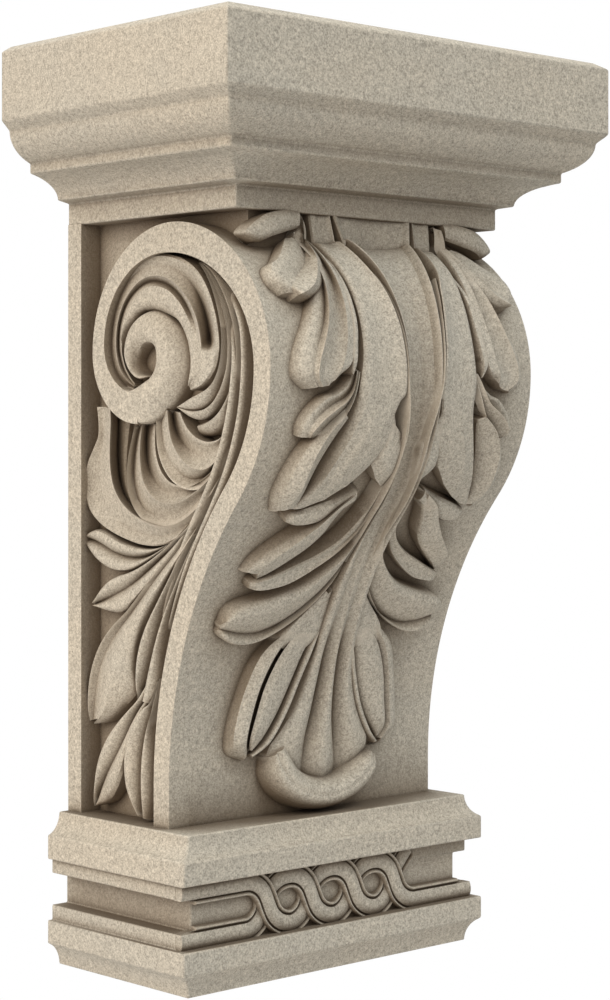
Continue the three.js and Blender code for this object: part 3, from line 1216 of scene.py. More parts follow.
@dataclass
class Straps:
    """Two straps that cross and recross along the frieze, each with a thin bead beside it."""

    plinth: Plinth = field(default_factory=Plinth)
    pitch: float = 25.3
    crossings: int = 4
    steepness: float = 1.15
    rising_points: int = 4
    rising_steps: int = 3
    rising_step: float = 3.0
    turn_steps: int = 7
    run_steps: int = 11
    corner_gap: float = 0.3
    proud: float = 3.6
    under_drop: float = 2.2
    groove: float = 0.9
    bead: float = 1.5
    bead_drop: float = 0.9
    edge_drop: float = 0.6
    swell: tuple[float, ...] = (0.8, -1.2, 0.9, -1.2, 0.8)
    rounding: float = 0.5
    ground_top: float = 80.0
    crease: float = 35.0

    @property
    def reach(self) -> float:
        """Half the length of the straps' waves."""
        return self.crossings / 2 * self.pitch

    @property
    def end(self) -> float:
        """Distance of the straps' ends from the middle."""
        return self.plinth.fillet_half - self.corner_gap

    def quarter(self) -> list[Point]:
        """Middle line from the top of a wave to where the straps cross.

        Returns:
            Distance across, fall and direction, point by point.
        """
        swing = (self.plinth.upper_foot - self.plinth.lower_top - self.plinth.strap_width) / 2
        lean = math.tan(self.steepness)
        turn = math.sin(self.steepness) * lean - 1.0 + math.cos(self.steepness)
        radius = (self.pitch / 2 * lean - swing) / turn
        bend = [
            (radius * math.sin(angle), radius * (1.0 - math.cos(angle)), float(angle))
            for angle in np.linspace(0.0, self.steepness, self.turn_steps + 1)
        ]
        return bend + [(self.pitch / 2, swing, self.steepness)]

    def path(self, strap: Strap) -> list[Point]:
        """Middle line of a strap from the left end of the frieze.

        Args:
            strap: Which strap.

        Returns:
            Place across, height above the middle and direction, point by point.
        """
        quarter, side = self.quarter(), strap.value
        swing = quarter[-1][1]
        run = np.linspace(-self.end, -self.reach, self.run_steps + 1)
        line = [(float(x), side * swing, 0.0) for x in run[:-1]]
        for count in range(self.crossings):
            start = count * self.pitch - self.reach
            down = [(start + across, side * (swing - fall), -side * angle) for across, fall, angle in quarter]
            up = [
                (start + self.pitch - across, side * (fall - swing), -side * angle)
                for across, fall, angle in reversed(quarter[1:-1])
            ]
            line, side = line + down + up, -side
        if strap is Strap.LOW:
            run = np.linspace(self.reach, self.end, self.run_steps + 1)
            return line + [(float(x), side * swing, 0.0) for x in run]
        # The high strap's last wave goes on rising, under the moulding above it
        line = line[: -self.rising_points]
        x, z, way = line[-1]
        steps = [self.rising_step * count for count in range(1, self.rising_steps + 1)]
        return line + [(x + step * math.cos(way), z + step * math.sin(way), way) for step in steps]

    def form(self, strap: Strap) -> Form:
        """Rails of one strap: outer bead, groove, body, groove, outer bead.

        Args:
            strap: Which strap.

        Returns:
            The strap as a form.
        """
        half = self.plinth.strap_width / 2
        inner = half + self.groove
        outer = inner + self.bead
        # Beside the body of a strap, the ends stop on the frieze's corner and not on the fillet's
        shrink = (self.plinth.frieze_half - self.reach) / (self.plinth.fillet_half - self.reach)
        middle = (self.plinth.lower_top + self.plinth.upper_foot) / 2
        rails = []
        for offset in (-outer, -inner, -half, half, inner, outer):
            is_beside = abs(offset) > half
            proud = self.proud - (self.bead_drop if is_beside else self.edge_drop)
            rail = []
            for x, z, way in self.path(strap):
                if is_beside and abs(x) > self.reach:
                    x = math.copysign(self.reach + (abs(x) - self.reach) * shrink, x)
                rise = proud - self.under_drop * max(0.0, math.sin(way))
                rail.append((x - offset * math.sin(way), middle + z + offset * math.cos(way), rise))
            rails.append(tuple(rail))
        return Form(tuple(rails), self.swell, (self.rounding, self.rounding), across=5, along=3)

    def build(self, maker: PieceMaker) -> bpy.types.Object:
        """Makes both straps.

        Args:
            maker: Places the piece.

        Returns:
            The straps.
        """
        depth = self.plinth.frieze_depth
        carver = Carver([(depth, 0.0), (depth, self.ground_top)], maker.material)
        shells = [carver.carve(self.form(strap)) for strap in Strap]
        carver.close()
        return maker.place("straps", Shell.joined(shells), self.crease)


@dataclass
class Body:
    """The bracket: ogee front, scrolled rims and stiles round the sunk side panels."""

    crown_width: float = 12.5
    back_width: float = 8.0
    tail_width: float = 13.0
    tail_lift: float = 3.0
    throat_shift: float = 5.0
    back_radius: float = 53.5
    tail_radius: float = 31.0
    lap: float = 3.0
    seat: float = 0.2
    overlap: float = 0.4
    front_steps: int = 40
    back_steps: int = 36
    tail_steps: int = 24
    shoulder_steps: int = 30
    crease: float = 30.0

    @property
    def foot(self) -> float:
        """Height of the body's foot, a little inside the plinth."""
        return STONE.plinth_top - self.overlap

    @property
    def neck(self) -> float:
        """Height of the body's top, a little inside the neck."""
        return STONE.neck_foot + self.overlap

    def ogee(self, inward: float) -> list[Corner]:
        """The front's outline from the foot to the belly's widest place.

        Args:
            inward: How far inside the front it runs.

        Returns:
            Depth and height of each point.
        """
        hollow = STONE.hollow_radius + inward
        belly = STONE.belly_radius - inward
        turn = math.pi + STONE.ogee_angle
        lower = arc(STONE.hollow_centre, (hollow, hollow), math.pi, turn, self.front_steps)
        upper = arc(STONE.belly_centre, (belly, belly), STONE.ogee_angle, 0.0, self.front_steps)
        return lower + upper[1:]

    def core(self) -> list[Corner]:
        """Outline of the middle of the body, whose shoulder runs up to the neck.

        Returns:
            Depth and height of each corner.
        """
        radius = STONE.scroll_radius
        shoulder = math.acos((STONE.shoulder_depth - STONE.scroll_centre[0]) / radius)
        over = arc(STONE.scroll_centre, (radius, radius), 0.0, shoulder, self.shoulder_steps)
        return [
            (0.0, self.foot),
            (STONE.foot_depth, self.foot),
            *self.ogee(0.0),
            *over[1:],
            (STONE.shoulder_depth, self.neck),
            (0.0, self.neck),
        ]

    def rim(self) -> list[Corner]:
        """Outline of one scrolled rim: up the front, over the scroll, round its tail and back inside.

        Returns:
            Depth and height of each corner.
        """
        scroll, radius = STONE.scroll_centre, STONE.scroll_radius
        back = (scroll[0], STONE.scroll_top - self.back_radius)
        tail_x = back[0] - self.back_radius + self.tail_radius
        inner_top = STONE.scroll_top - self.crown_width
        inner_left = back[0] - self.back_radius + self.back_width
        inner_right = STONE.belly_depth - STONE.rim_width
        turn = back[1] + self.tail_lift
        inner_foot = back[1] - self.tail_radius + self.tail_width
        throat = scroll[0] - self.throat_shift
        up, left, down = math.pi / 2, math.pi, 3 * (math.pi / 2)
        around = (
            (scroll, (radius, radius), 0.0, up, self.front_steps),
            (back, (self.back_radius, self.back_radius), up, left, self.back_steps),
            ((tail_x, back[1]), (self.tail_radius, self.tail_radius), left, down, self.tail_steps),
            ((tail_x, turn), (tail_x - inner_left, turn - inner_foot), down, left, self.tail_steps),
            ((throat, turn), (throat - inner_left, inner_top - turn), left, up, self.back_steps),
            ((throat, scroll[1]), (inner_right - throat, inner_top - scroll[1]), up, 0.0, self.back_steps),
        )
        outline = [(STONE.foot_depth - STONE.rim_width, self.foot), (STONE.foot_depth, self.foot)]
        outline += self.ogee(0.0)
        for centre, radii, first, last, steps in around:
            # The inner edge of the tail starts afresh, and each other arc where the one before it ends
            repeated = 0 if first == down else 1
            outline += arc(centre, radii, first, last, steps)[repeated:]
        return outline + self.ogee(STONE.rim_width)[-2::-1]

    def stile(self) -> list[Corner]:
        """Outline of one stile along the wall."""
        width = STONE.stile_width
        return [(0.0, self.foot), (width, self.foot), (width, self.neck), (0.0, self.neck)]

    @staticmethod
    def on_both_sides(outline: list[Corner], inner: float) -> list[Shell]:
        """An outline drawn out on each side, up to the body's faces.

        Args:
            outline: Depth and height of each corner.
            inner: Distance from the middle at which it starts.

        Returns:
            The left and the right prism.
        """
        spans = [sorted((side.value * inner, side.value * STONE.body_half)) for side in Side]
        return [prism(outline, *span) for span in spans]

    def build(self, maker: PieceMaker) -> bpy.types.Object:
        """Makes the body: core and rims in one, and the stiles seated in them.

        Args:
            maker: Places the piece.

        Returns:
            The body.
        """
        floor = STONE.panel_floor
        block = fused([prism(self.core(), -floor, floor), *self.on_both_sides(self.rim(), floor - self.lap)])
        stiles = self.on_both_sides(self.stile(), floor - self.seat)
        return maker.place("body", Shell.joined([block, *stiles]), self.crease, maker.arris)


def fused(parts: list[Shell]) -> Shell:
    """Joins closed shells into one by boolean union.

    Args:
        parts: The shells; the first is the one that the others join.

    Returns:
        The union.
    """
    objects = []
    for number, part in enumerate(parts):
        made = bpy.data.objects.new(f"part_{number}", part.mesh(f"part_{number}"))
        bpy.context.collection.objects.link(made)
        objects.append(made)
    for other in objects[1:]:
        join = objects[0].modifiers.new("join", "BOOLEAN")
        join.operation = "UNION"
        join.solver = "EXACT"
        join.object = other
    graph = bpy.context.evaluated_depsgraph_get()
    graph.update()
    mesh = bpy.data.meshes.new_from_object(objects[0].evaluated_get(graph))
    shell = Shell.of(mesh)
    shell.points = shell.points / MM + (0.0, 0.0, HALF_HEIGHT)
    for made in objects:
        used = made.data
        bpy.data.objects.remove(made)
        bpy.data.meshes.remove(used)
    bpy.data.meshes.remove(mesh)
    return shell.outward()


# Swell of the scroll's eye and of a finger's flutes, point by point
EYE_SWELL = (0, 0, 0.1, 0.6, 1.6, 2.6, 3.4, 3.8, 4, 4, 4, 4, 3.8, 3.4, 3, 2.6, 2.4, 2.2, 2, 1.8, 1.4, 0.8, 0)
FINGER_SWELL = (0,) * 13 + (0.6, 1.2, 1.4, 1.4, 1.2, 0.6)

SIDE_FORMS: tuple[Form, ...] = (
    # Strand by the rim
    Form.of(
        """
        62.7 150.2 4.6, 71.5 164 7, 79.5 177.3 8, 88 189.6 8.4, 95.7 200.9 8.4, 102.7 212.4 8.4,
        108.7 225.5 8.4, 113.1 240 8.4, 115.2 255.1 8.4, 115.1 267.2 8.2, 112.6 278.9 7.4, 106.3 287.5 5.6,
        97.2 294.3 2.6;
        61.7 150.6 4.6, 69.5 164.8 7, 77.2 178.9 8, 85.4 191.8 8.4, 92.8 203.1 8.4, 99.9 214.7 8.4,
        105.9 227.6 8.4, 110.2 241.5 8.4, 112.3 255.6 8.4, 112.3 266.8 8.2, 110 277.3 7.4, 103.9 285.5 5.6,
        95 292.4 2.6
        """,
        swell=(1.2,),
        rounding=(0.5, 0.5),
    ),
    # Inner strand
    Form.of(
        """
        59.1 155.2 4.4, 66 166.9 6.6, 74 180.7 7.6, 82.3 193.6 8, 89.8 204.9 8, 97.4 216.5 8.5,
        103.2 229.4 8.5, 107.3 243.1 8.5, 109.1 256.1 8.2, 108.6 266.2 7.4, 105.1 276.4 5.6, 98 284.7 2.6;
        58.1 155.8 4.4, 64 168.2 6.6, 71.6 182.1 7.6, 79.7 195.5 8, 87.4 207.1 8, 94.8 218.6 8.5,
        100.2 231 8.5, 104 244.1 8.5, 105.7 256.1 8.2, 105.6 265.8 7.4, 102.3 275.4 5.6, 95.4 283.3 2.6
        """,
        swell=(1.2,),
        rounding=(0.5, 0.5),
    ),
    # Outer wrap
    Form.of(
        """
        84.7 304.3 4, 90.9 301.7 5, 97.4 296.6 5.4, 103.5 288.5 5.4, 107.6 279.5 5, 109.6 269.4 4.6,
        109.4 259.3 4.4, 107.1 250.2 4.6, 103.5 242.6 5, 98.9 236.6 5.4, 91.9 232.5 5, 83.7 231.5 4;
        85.5 303.1 5.6, 92.4 299.9 7.6, 98.9 293.8 8.6, 104.2 285.7 9, 107.6 276.7 9, 109.1 267.6 9,
        108.2 258.6 9, 105.1 250.6 9, 101.1 244.5 9, 95.6 240 8.6, 88.9 237.5 7.6, 82 236.5 6
        """,
        swell=(0.8,),
        rounding=(0.8, 0.8),
    ),
    # Middle wrap
    Form.of(
        """
        83.4 304.3 4.6, 89.6 300.6 5.6, 95.1 294.5 6, 100.6 286.4 6.4, 104 277.3 6.6, 105.5 267.8 6.8,
        104.7 258.7 6.8, 101.6 250.6 6.8, 97 244.6 6.8, 92.2 240.4 7, 85.6 238.5 7.4, 79.1 239.8 7.8,
        71.3 243.9 8;
        84 303.8 6, 90.6 299.4 7.8, 96.6 292.7 8.8, 101.2 284.6 9.4, 104.1 276.1 9.6, 104.8 267.6 9.6,
        103.9 259.6 9.6, 101.1 252.7 9.6, 96.8 247 9.6, 91.5 243.6 9.4, 85.8 242.3 9.2, 79.3 242.6 8.8,
        71.5 244.1 8.2
        """,
        swell=(0.5,),
        rounding=(0.6, 0.6),
    ),
    # Inner wrap
    Form.of(
        """
        82.3 304.4 4.6, 87.9 300 5, 93 293.3 5.4, 97.2 285.2 5.6, 100.1 276.4 5.8, 101 267.8 6,
        100.1 259.5 6, 97.3 252.5 6, 93.2 246.7 6.2, 88.5 243.3 6.6, 83.4 242 7.2, 77.8 242.4 7.6,
        71.3 244.1 8;
        83.2 303.6 6, 88.7 298.9 7.4, 94.1 292.2 8.6, 98.2 284.1 9.4, 100.5 276.1 9.8, 100.9 268.1 10,
        100 261 10.2, 97 255.3 10.2, 92.5 251.6 10, 87 249.4 9.8, 81.2 247.6 9.6, 76 245.8 9, 71.5 244.2 8.2
        """,
        swell=(0.5,),
        rounding=(0.7, 0.7),
    ),
    # Folded leaf
    Form.of(
        """
        40.4 250.6 7, 34.2 252.8 8.5, 28.9 259.1 9.3, 25.6 268.1 9.5, 25.4 278.1 9.5, 27.8 288.1 9.5,
        33.6 297.2 9.5, 41.5 303.8 9.5, 49.8 307.2 9.3, 58.9 308.7 9, 68.5 307.8 9, 77.5 304.9 9,
        85.2 299.8 9, 91.5 291.8 9, 96 282.2 9.2, 98.5 273.1 9.5, 99.1 266.6 9.8, 97.3 260.4 9.8,
        93.1 255.7 9.5, 87.5 252.3 9, 79.8 250.8 8;
        39.6 252.2 6, 33.7 254.7 6.5, 28.4 260.2 6.8, 25.1 268.8 6.6, 25.3 278.3 6.6, 28 287.2 6.8,
        33.9 295 7.2, 41.6 300.8 7.6, 49.9 303.8 7.8, 58.2 304.6 7.6, 66 303.1 7, 73.1 299.5 6.2,
        78.8 294.2 5, 82.7 286.7 3.6, 85.3 278.1 2.8, 86.4 271 2.6, 93.1 266.9 8.6, 92.3 262.1 9.2,
        89.3 257.9 9.2, 85.3 254.7 8.8, 79.8 251.5 8;
        40.7 253.2 6.5, 37.5 255.9 8, 33.9 261.1 8.8, 31.5 269.1 9, 31.9 278.2 9, 34.8 286.2 9,
        40 292.6 9.2, 46.9 297.4 9.4, 54.4 299.5 9.8, 62.2 299.3 10, 69.7 297.1 10, 76.7 292.7 10,
        82.3 286.7 10, 86.1 280.6 10, 88.3 274.1 10, 88.9 269.7 9.8, 88.8 266.7 9.6, 88.4 263.1 9.4,
        86.6 259.1 9.4, 83.9 256.1 9, 79.5 252.1 8;
        40.4 253.8 6, 37.2 256.8 6.6, 33.2 262 6.8, 30.6 269.7 6.8, 31 278.3 6.8, 33.8 285.6 6.8,
        38.6 291.4 6.8, 44.8 295.7 6.6, 51.2 297.7 6.4, 57.8 297.3 6.2, 64.7 295.1 6.2, 71.6 290.7 6.4,
        77.3 284.8 6.8, 82.1 279.2 8, 85.7 273.1 9, 86.8 269.1 9.2, 87 265.7 9.2, 86.4 262.1 9.2,
        84.8 258.7 9.2, 82.7 256.1 9, 79.4 252.5 8;
        40.6 254.4 6, 39.2 257.2 7.4, 36.1 262.2 8, 33.9 270.2 8.2, 34.6 277.6 8.4, 37.9 284.2 8.6,
        43 289.6 9, 49 293.6 9.2, 55.2 295.4 9.3, 61.6 294.8 9.3, 67.8 292.6 9.3, 73.7 288.2 9.2,
        78.3 283 9.2, 81.5 278.1 9.2, 84 272.5 9.2, 85.2 268.1 9.2, 85.4 264.7 9.2, 84.8 261.1 9.2,
        83.6 258.1 9.2, 81.9 255.5 9, 79.3 252.7 8;
        38.6 255.7 4, 36.9 258.9 4.6, 34.3 263.7 5, 33.6 270.3 5.6, 35.6 276.4 6, 40.5 281 6.4, 44.9 284 7,
        50.2 285.3 7.2, 55.2 285.3 7.2, 60.3 284.3 7.2, 65.1 282.9 7.4, 69.4 281.1 7.6, 73.5 278.2 8,
        76.3 274.6 8, 78.3 270.8 8, 79.3 266.8 8, 79.9 263.6 8, 79.9 260.1 8, 79.5 257.5 8, 79.3 255.1 8,
        78.6 252.9 7.6
        """,
        swell=(0, -0.3, 0, 0, 0.9),
        rounding=(1, 1),
        across=6,
    ),
    # Eye
    Form.of(
        """
        29.6 246.6 10.8, 35.7 241.8 10.9, 42.7 238.6 10.9, 49.4 237 10.6, 54.9 237.4 9.4, 60.2 239.6 8,
        66.1 243.7 6.6, 71.9 249.4 5.6, 75.5 256.2 5, 76.7 263.3 4.8, 75.3 270.6 4.8, 71.7 276.9 5,
        66.4 281.4 5.6, 60.3 284.4 6.4, 54.1 285.3 7.4, 48.3 283.6 8.6, 42.4 279.8 9, 38.2 274.1 9,
        36 267.6 8.4, 37.5 262 8, 41.7 257.7 8, 46.8 256.1 8.2, 51.6 257.1 8.2;
        37 253 10.8, 39.7 252 10.9, 42.7 251.6 10.9, 46.4 252.4 10.9, 49.4 253.8 10.6, 52.5 255.2 10.4,
        55.4 256.8 10, 58 259.5 9.8, 59 262.5 9.6, 59.2 265.9 9.6, 58.6 269.1 9.6, 56.1 270.9 9.2,
        53.2 271.4 8.8, 49.8 271 8, 46.7 269.9 7, 44 267.9 5.6, 42.1 265.8 4.4, 41.5 263.6 3.8,
        41.9 261.8 3.6, 43.4 260.1 4, 45.9 258.9 5, 49.3 258 7, 51.4 257.3 8
        """,
        swell=(EYE_SWELL,),
        rounding=(0.9, 0.9),
        across=22,
    ),
    # First lobe
    Form.of(
        """
        56.7 241.1 8, 58 233 9.2, 59.5 225.5 9.5, 62.7 219 9.5, 67.7 213.8 9.5, 74.1 210.5 9.5,
        80.9 209.3 9.3, 87.5 210.3 9, 94.1 214.5 8.6, 99.9 222.5 8, 102.1 232 6;
        57.5 242.1 5.4, 58.4 234 6, 60.7 227 6.4, 64.6 221.5 6.6, 69.4 217.3 6.4, 74.4 214.5 5.6,
        80.2 213.8 4.8, 86.4 215.4 4.6, 92.5 219.7 5, 98.3 226 5.6, 101 234 4.6;
        65.3 242.7 8.4, 67.8 235 9.6, 70.9 228.8 10.2, 75.2 223.8 10.4, 80.2 220.2 10.4, 85.5 218.2 10.2,
        90.5 218 9.8, 95.3 219.8 9.6, 99.4 223.6 9.2, 102.7 229 8.6, 103.2 236 6;
        63 242.5 3.6, 65.3 235.9 4, 69.2 230.6 4.6, 74.4 226.8 5.2, 80.1 224.5 5.8, 85.4 223.7 6,
        90.3 224.4 6.2, 94.5 226.4 6.4, 98.4 229.6 6.6, 101.4 234 6.4, 102.5 239.1 5;
        73 241.6 8.6, 77.1 236.4 9.2, 82 232.4 9.4, 87 230.2 9.4, 91.4 229.4 9.2, 95.6 229.8 9,
        98.9 231 8.8, 101.7 233.2 8.6, 103.7 236 8.2, 104.8 239.7 7.4, 103.5 243.6 5
        """,
        swell=(-0.4, -0.2, -0.5, -0.6),
        rounding=(0.8, 0.8),
        across=6,
    ),
    # Second lobe
    Form.of(
        """
        42.8 236 8.4, 40.6 228.5 9.2, 38.8 220 9.5, 38.6 211.5 9.5, 41.4 203.7 9.5, 46.5 197.9 9.4,
        53.2 194.5 9.3, 60.7 193.1 9.2, 69.1 193.9 9.2, 77.5 196.9 9, 85.7 201.9 8.6, 93.4 209.3 8,
        98.1 218.9 6;
        39.7 236.7 3.6, 37.5 229 4, 36.4 220.5 4.2, 37 212.4 4.4, 40.1 205.7 4.6, 45.5 200.9 5,
        52.4 198.3 5.4, 60 197.5 5.8, 67.9 198.5 6, 75.8 201.6 6.2, 83.7 206.2 6.4, 91.7 212.1 6.4,
        97.2 220.3 5;
        48.7 236.8 8.4, 48.2 229.6 9.2, 48.3 221.8 9.4, 49.8 214.8 9.5, 53.2 209.1 9.5, 58.2 205.3 9.5,
        64.5 203.5 9.5, 71 203.5 9.4, 77.6 205.1 9.4, 83.8 208.1 9.2, 89.9 211.9 9, 95.9 216.9 8.4,
        99.1 223.4 6;
        46.4 236.9 3.6, 45.8 230 3.8, 46.6 222.7 4, 49.1 216.4 4.2, 53.5 211.6 4.6, 59 208.6 5,
        65.1 207.6 5.4, 71.5 208 5.8, 77.5 209.6 6, 83.6 212.3 6.2, 89.5 215.7 6.4, 95.1 220.3 6.4,
        98.4 226 5;
        55 237 7, 55.1 230.4 7.6, 56.4 224 8, 59.1 218.3 8.2, 63.3 214.1 8.4, 68.3 211.7 8.4,
        73.8 210.9 8.4, 79.2 211.1 8.4, 84.4 212.5 8.4, 89.2 214.9 8.2, 94 218.3 8, 98.1 222.8 7.4, 99 228 5
        """,
        swell=(-0.6, -0.6, -0.6, -0.6),
        rounding=(0.8, 0.8),
        across=6,
    ),
    # Third lobe
    Form.of(
        """
        15.1 244.6 7.6, 16.6 238.5 8, 16.7 232 8.2, 13.5 226.2 8.4, 9.5 220 8.6, 7.5 212.4 8.6,
        8.3 204.7 8.6, 12.2 198.7 8.6, 18.4 194.1 8.6, 26.5 190.6 8.7, 36.1 187.8 8.8, 47.3 185.6 8.9,
        58.4 185.4 9, 68.5 187.5 9, 77.3 191.7 8.8, 85.8 198.5 8.4, 91.6 207.8 6;
        18.7 244.6 6.2, 19.1 238.1 6.2, 18.3 231 6, 15.8 224.6 6, 13.4 217.9 6, 12.6 211.2 6, 14.6 204.8 6,
        19.5 199.5 6, 26.3 195.7 6, 34.4 192.9 6, 43.9 190.5 6.2, 54.2 189.3 6.4, 63.6 190.1 6.6,
        71.8 192.5 6.8, 79.7 196.8 7, 87.2 202.4 7, 93.1 210.2 6;
        27.3 244 9, 28.3 237.5 9.6, 28.4 230.4 10, 28.2 223 10, 29 216 10, 31.2 209.6 10, 35.4 204.2 10,
        40.8 200.1 9.8, 47.1 197.1 9.6, 54.6 194.9 9.6, 61.5 193.8 9.4, 68.3 194.1 9.2, 75.1 196.1 9.2,
        81.1 199.3 9, 86.7 203.3 8.6, 91.8 208.1 8, 94.7 213.9 6;
        24.1 242.2 2, 24.3 235.1 2, 23.6 228 1.8, 23.6 220.9 1.6, 24.9 214.2 1.8, 28 208.3 2.4,
        33.1 203.5 3.2, 39.4 199.9 4, 46.4 197.3 4.8, 53.6 195.7 5.4, 60.8 195.1 6, 67.3 195.9 6.4,
        73.6 198.2 6.6, 79.7 201.6 6.8, 85.3 205.8 6.8, 90.5 210.9 6.4, 93.9 216.5 5;
        32.7 239.1 3, 31.4 232.4 3, 30.4 225.9 3, 30 218.8 3, 31.1 212.2 3.4, 34.3 206.3 4, 39.3 201.7 4.6,
        45.3 198.5 5.2, 51.9 196.5 5.8, 58.5 195.7 6.4, 64.8 196 6.8, 70.9 197.4 7, 76.5 200 7, 82 203.6 7,
        87.2 207.9 7, 91.8 212.9 6.6, 94.5 218.5 5
        """,
        swell=(-0.3, -0.3, -1.2, 0),
        rounding=(0.9, 0.9),
        across=6,
    ),
    # Fourth lobe
    Form.of(
        """
        5.4 187.2 6, 11.8 190.2 7.4, 18 191.2 8, 24.6 189.6 8, 32.7 186.6 8, 42.1 184.6 8, 52.2 184 8,
        62.2 185.2 8, 72.3 188.8 8, 82.3 195.4 8, 89 204.2 6;
        4.8 186.8 5.6, 11.3 186.4 5.6, 18 184.4 5.6, 25 181.8 5.6, 33.1 180.1 5.6, 42 179.7 5.8,
        50.7 180.8 6, 59.6 183.6 6.2, 69.4 188.1 6.4, 79.7 194.9 6.6, 88.4 204 5.6;
        5.4 186.4 6, 10.3 182.1 7, 15.8 177.9 7.4, 23.1 174.7 7.6, 31.4 173.4 7.8, 39.3 174.1 7.8,
        47.3 176.7 7.8, 56.2 180.7 7.8, 67 186 7.8, 79.2 194 7.6, 88.4 203.8 6
        """,
        swell=(1.9, 1.9),
        rounding=(0.8, 0.8),
        across=9,
    ),
    # Fifth lobe
    Form.of(
        """
        13.2 159.8 6, 18.2 164.6 7.4, 24.4 168.9 8, 31.1 171.6 8, 38.5 173.3 8, 46.2 175.9 8, 54.8 179.7 8,
        63.2 184.2 8, 71.4 189.4 7.6, 77.9 195.7 6;
        12.4 158.2 5.4, 19.4 160.4 5.6, 26.9 163.2 5.8, 34.4 166.1 6, 41.7 169.7 6, 48.9 173.9 6,
        56.4 178.4 6.2, 64.1 183.2 6.4, 71.4 188.5 6.4, 77.9 194.7 5.6;
        13.2 157.2 6, 21.5 155.9 6.8, 29.5 155.4 7.2, 36 157.2 7.4, 42.2 161.2 7.6, 49.1 166.6 7.6,
        56.3 172.3 7.6, 64.2 178.5 7.6, 71.8 185.1 7.4, 78.4 193.3 6
        """,
        swell=(1.9, 1.6),
        rounding=(0.8, 0.8),
        across=9,
    ),
    # Sixth lobe
    Form.of(
        """
        9.1 106.8 7, 9.3 112.5 8.4, 10 120 8.8, 12.1 128.5 9, 15.9 136.9 9, 21.3 144.1 9, 28.3 150.3 9,
        36 155.7 9, 43 161.6 9, 50.2 168.4 9, 57.6 175.4 8.8, 65.8 182.2 8.6, 74.5 189.4 8.2, 81.6 197.5 6;
        10.2 107.3 5.4, 11.3 113 5.6, 12.5 120.4 5.6, 14.9 128.7 5.6, 19 136.6 5.6, 24.4 143.4 5.6,
        30.9 149.5 5.8, 37.8 155.4 6, 44.7 161.7 6.2, 51.8 168.3 6.4, 59.3 175 6.6, 67.4 181.7 6.8,
        75.3 188.5 6.8, 82.4 196.1 6;
        19.2 108.9 8.6, 24.1 114.7 9.6, 27.2 121.6 10, 30.5 129.1 10.2, 34.1 136.3 10.2, 38.3 143.1 10.2,
        43 149.5 10, 48.6 155.7 10, 54.4 161.9 9.8, 60.6 168.2 9.6, 67.1 175 9.4, 73.7 181.8 9,
        79.6 188.4 8.4, 83.4 195.3 6;
        12 105.6 6, 20.1 107 6, 26.3 110.4 5.8, 31.7 114.4 5.6, 36.9 118.4 5.4, 40.3 122.6 5.2, 40.2 129 5,
        40.8 136.5 5, 43.2 143.8 5, 47.3 150.6 5, 53 157.9 5.4, 59.8 165.9 5.8, 67.3 174.9 6, 74.7 185.6 5
        """,
        swell=(-0.3, 0.3, 0.8),
        rounding=(1.2, 1.2),
        across=9,
    ),
    # Seventh lobe
    Form.of(
        """
        45.5 119.9 7, 44.3 125.5 8, 44.4 132.4 8.4, 45.9 139.6 8.6, 49.2 147.1 8.8, 53.8 154.5 8.8,
        59.6 162.1 8.8, 66.2 170.8 8.6, 73.9 181.4 8, 81 192.3 6;
        45.1 119.3 6, 46.5 125.5 6, 48.7 132.6 6, 51.5 140.1 6, 54.4 146.9 6, 57.4 153.2 6, 61.2 160 6,
        66.5 168.5 6.2, 73.5 179.2 6.2, 81.3 190.6 5.6
        """,
        swell=(2,),
        rounding=(0.9, 0.9),
        across=12,
    ),
    # Eighth lobe
    Form.of(
        """
        47.5 119.1 7, 49.6 125.6 7.4, 52.3 132.7 7.8, 55.2 140 8, 58 146.8 8, 61 153 8, 64.6 159.6 8,
        69.5 167.7 8, 75.6 178.1 7.6, 82 189.7 6;
        52.1 117.9 6, 55.4 121.7 6, 57.2 128 6, 58.4 135 6, 60.2 142.7 6, 62.4 149.3 6, 65.6 156.8 6,
        70.1 165.3 6.2, 75.7 175.1 6, 81.6 186.6 5
        """,
        swell=(2,),
        rounding=(0.9, 0.9),
        across=12,
    ),
    # Ninth lobe
    Form.of(
        """
        13.8 70.1 6, 14.4 77.1 7.4, 16 85.7 8, 19.3 94.2 8.2, 25 101.8 8.4, 32 108.5 8.4, 39 114.1 8.2,
        44.4 118.9 7.4, 48.5 126 5;
        13.9 70.1 5.4, 17.3 78.3 5.6, 22.4 86.6 5.8, 28.5 94.5 6, 34.4 102.4 6, 39.8 109.6 6, 44.9 115.5 6,
        48.9 119.9 5.8, 52 126.5 4.6;
        15.4 70.3 6, 23.1 72.9 6.8, 29.9 80.1 7.4, 34.2 87.8 7.8, 37.5 96.3 7.8, 41.9 104.7 7.8,
        46.7 112.1 7.6, 50.9 117.6 6.8, 54.7 126.5 4.6
        """,
        swell=(2, 1.6),
        rounding=(0.8, 0.8),
        across=9,
    ),
    # Tenth lobe
    Form.of(
        """
        44.1 69.5 6, 41 74.1 7.4, 37.5 79.9 8, 36.2 87.4 8.4, 36.4 95.4 8.4, 38.6 103.5 8.4, 43 110.2 8.2,
        48.1 115.6 7.8, 53.6 118.9 7, 56.1 127.3 4.6;
        45.3 69.5 5.4, 44.4 74.6 5.6, 43.9 81.3 5.8, 44.1 88.4 6, 44.7 95.3 6, 46.5 102.2 6, 49.3 108.6 6,
        52.1 113.8 5.8, 54.4 119 5.4, 57.1 127.9 4.6
        """,
        swell=(2.2,),
        rounding=(0.9, 0.9),
        across=12,
    ),
    # Last lobe
    Form.of(
        """
        47.1 69.3 6, 46.8 77.4 7.2, 47.1 86 7.8, 48 94.5 8, 50 102.6 8, 53.2 110 8, 56.3 117.7 7.4,
        57.6 129 5;
        50.8 68.2 5.6, 52.1 76.7 5.8, 52.7 85.8 6, 53.1 94.9 6, 53.5 103.6 6, 54.2 111 6, 55.5 118 5.6,
        58.1 128.9 4.6
        """,
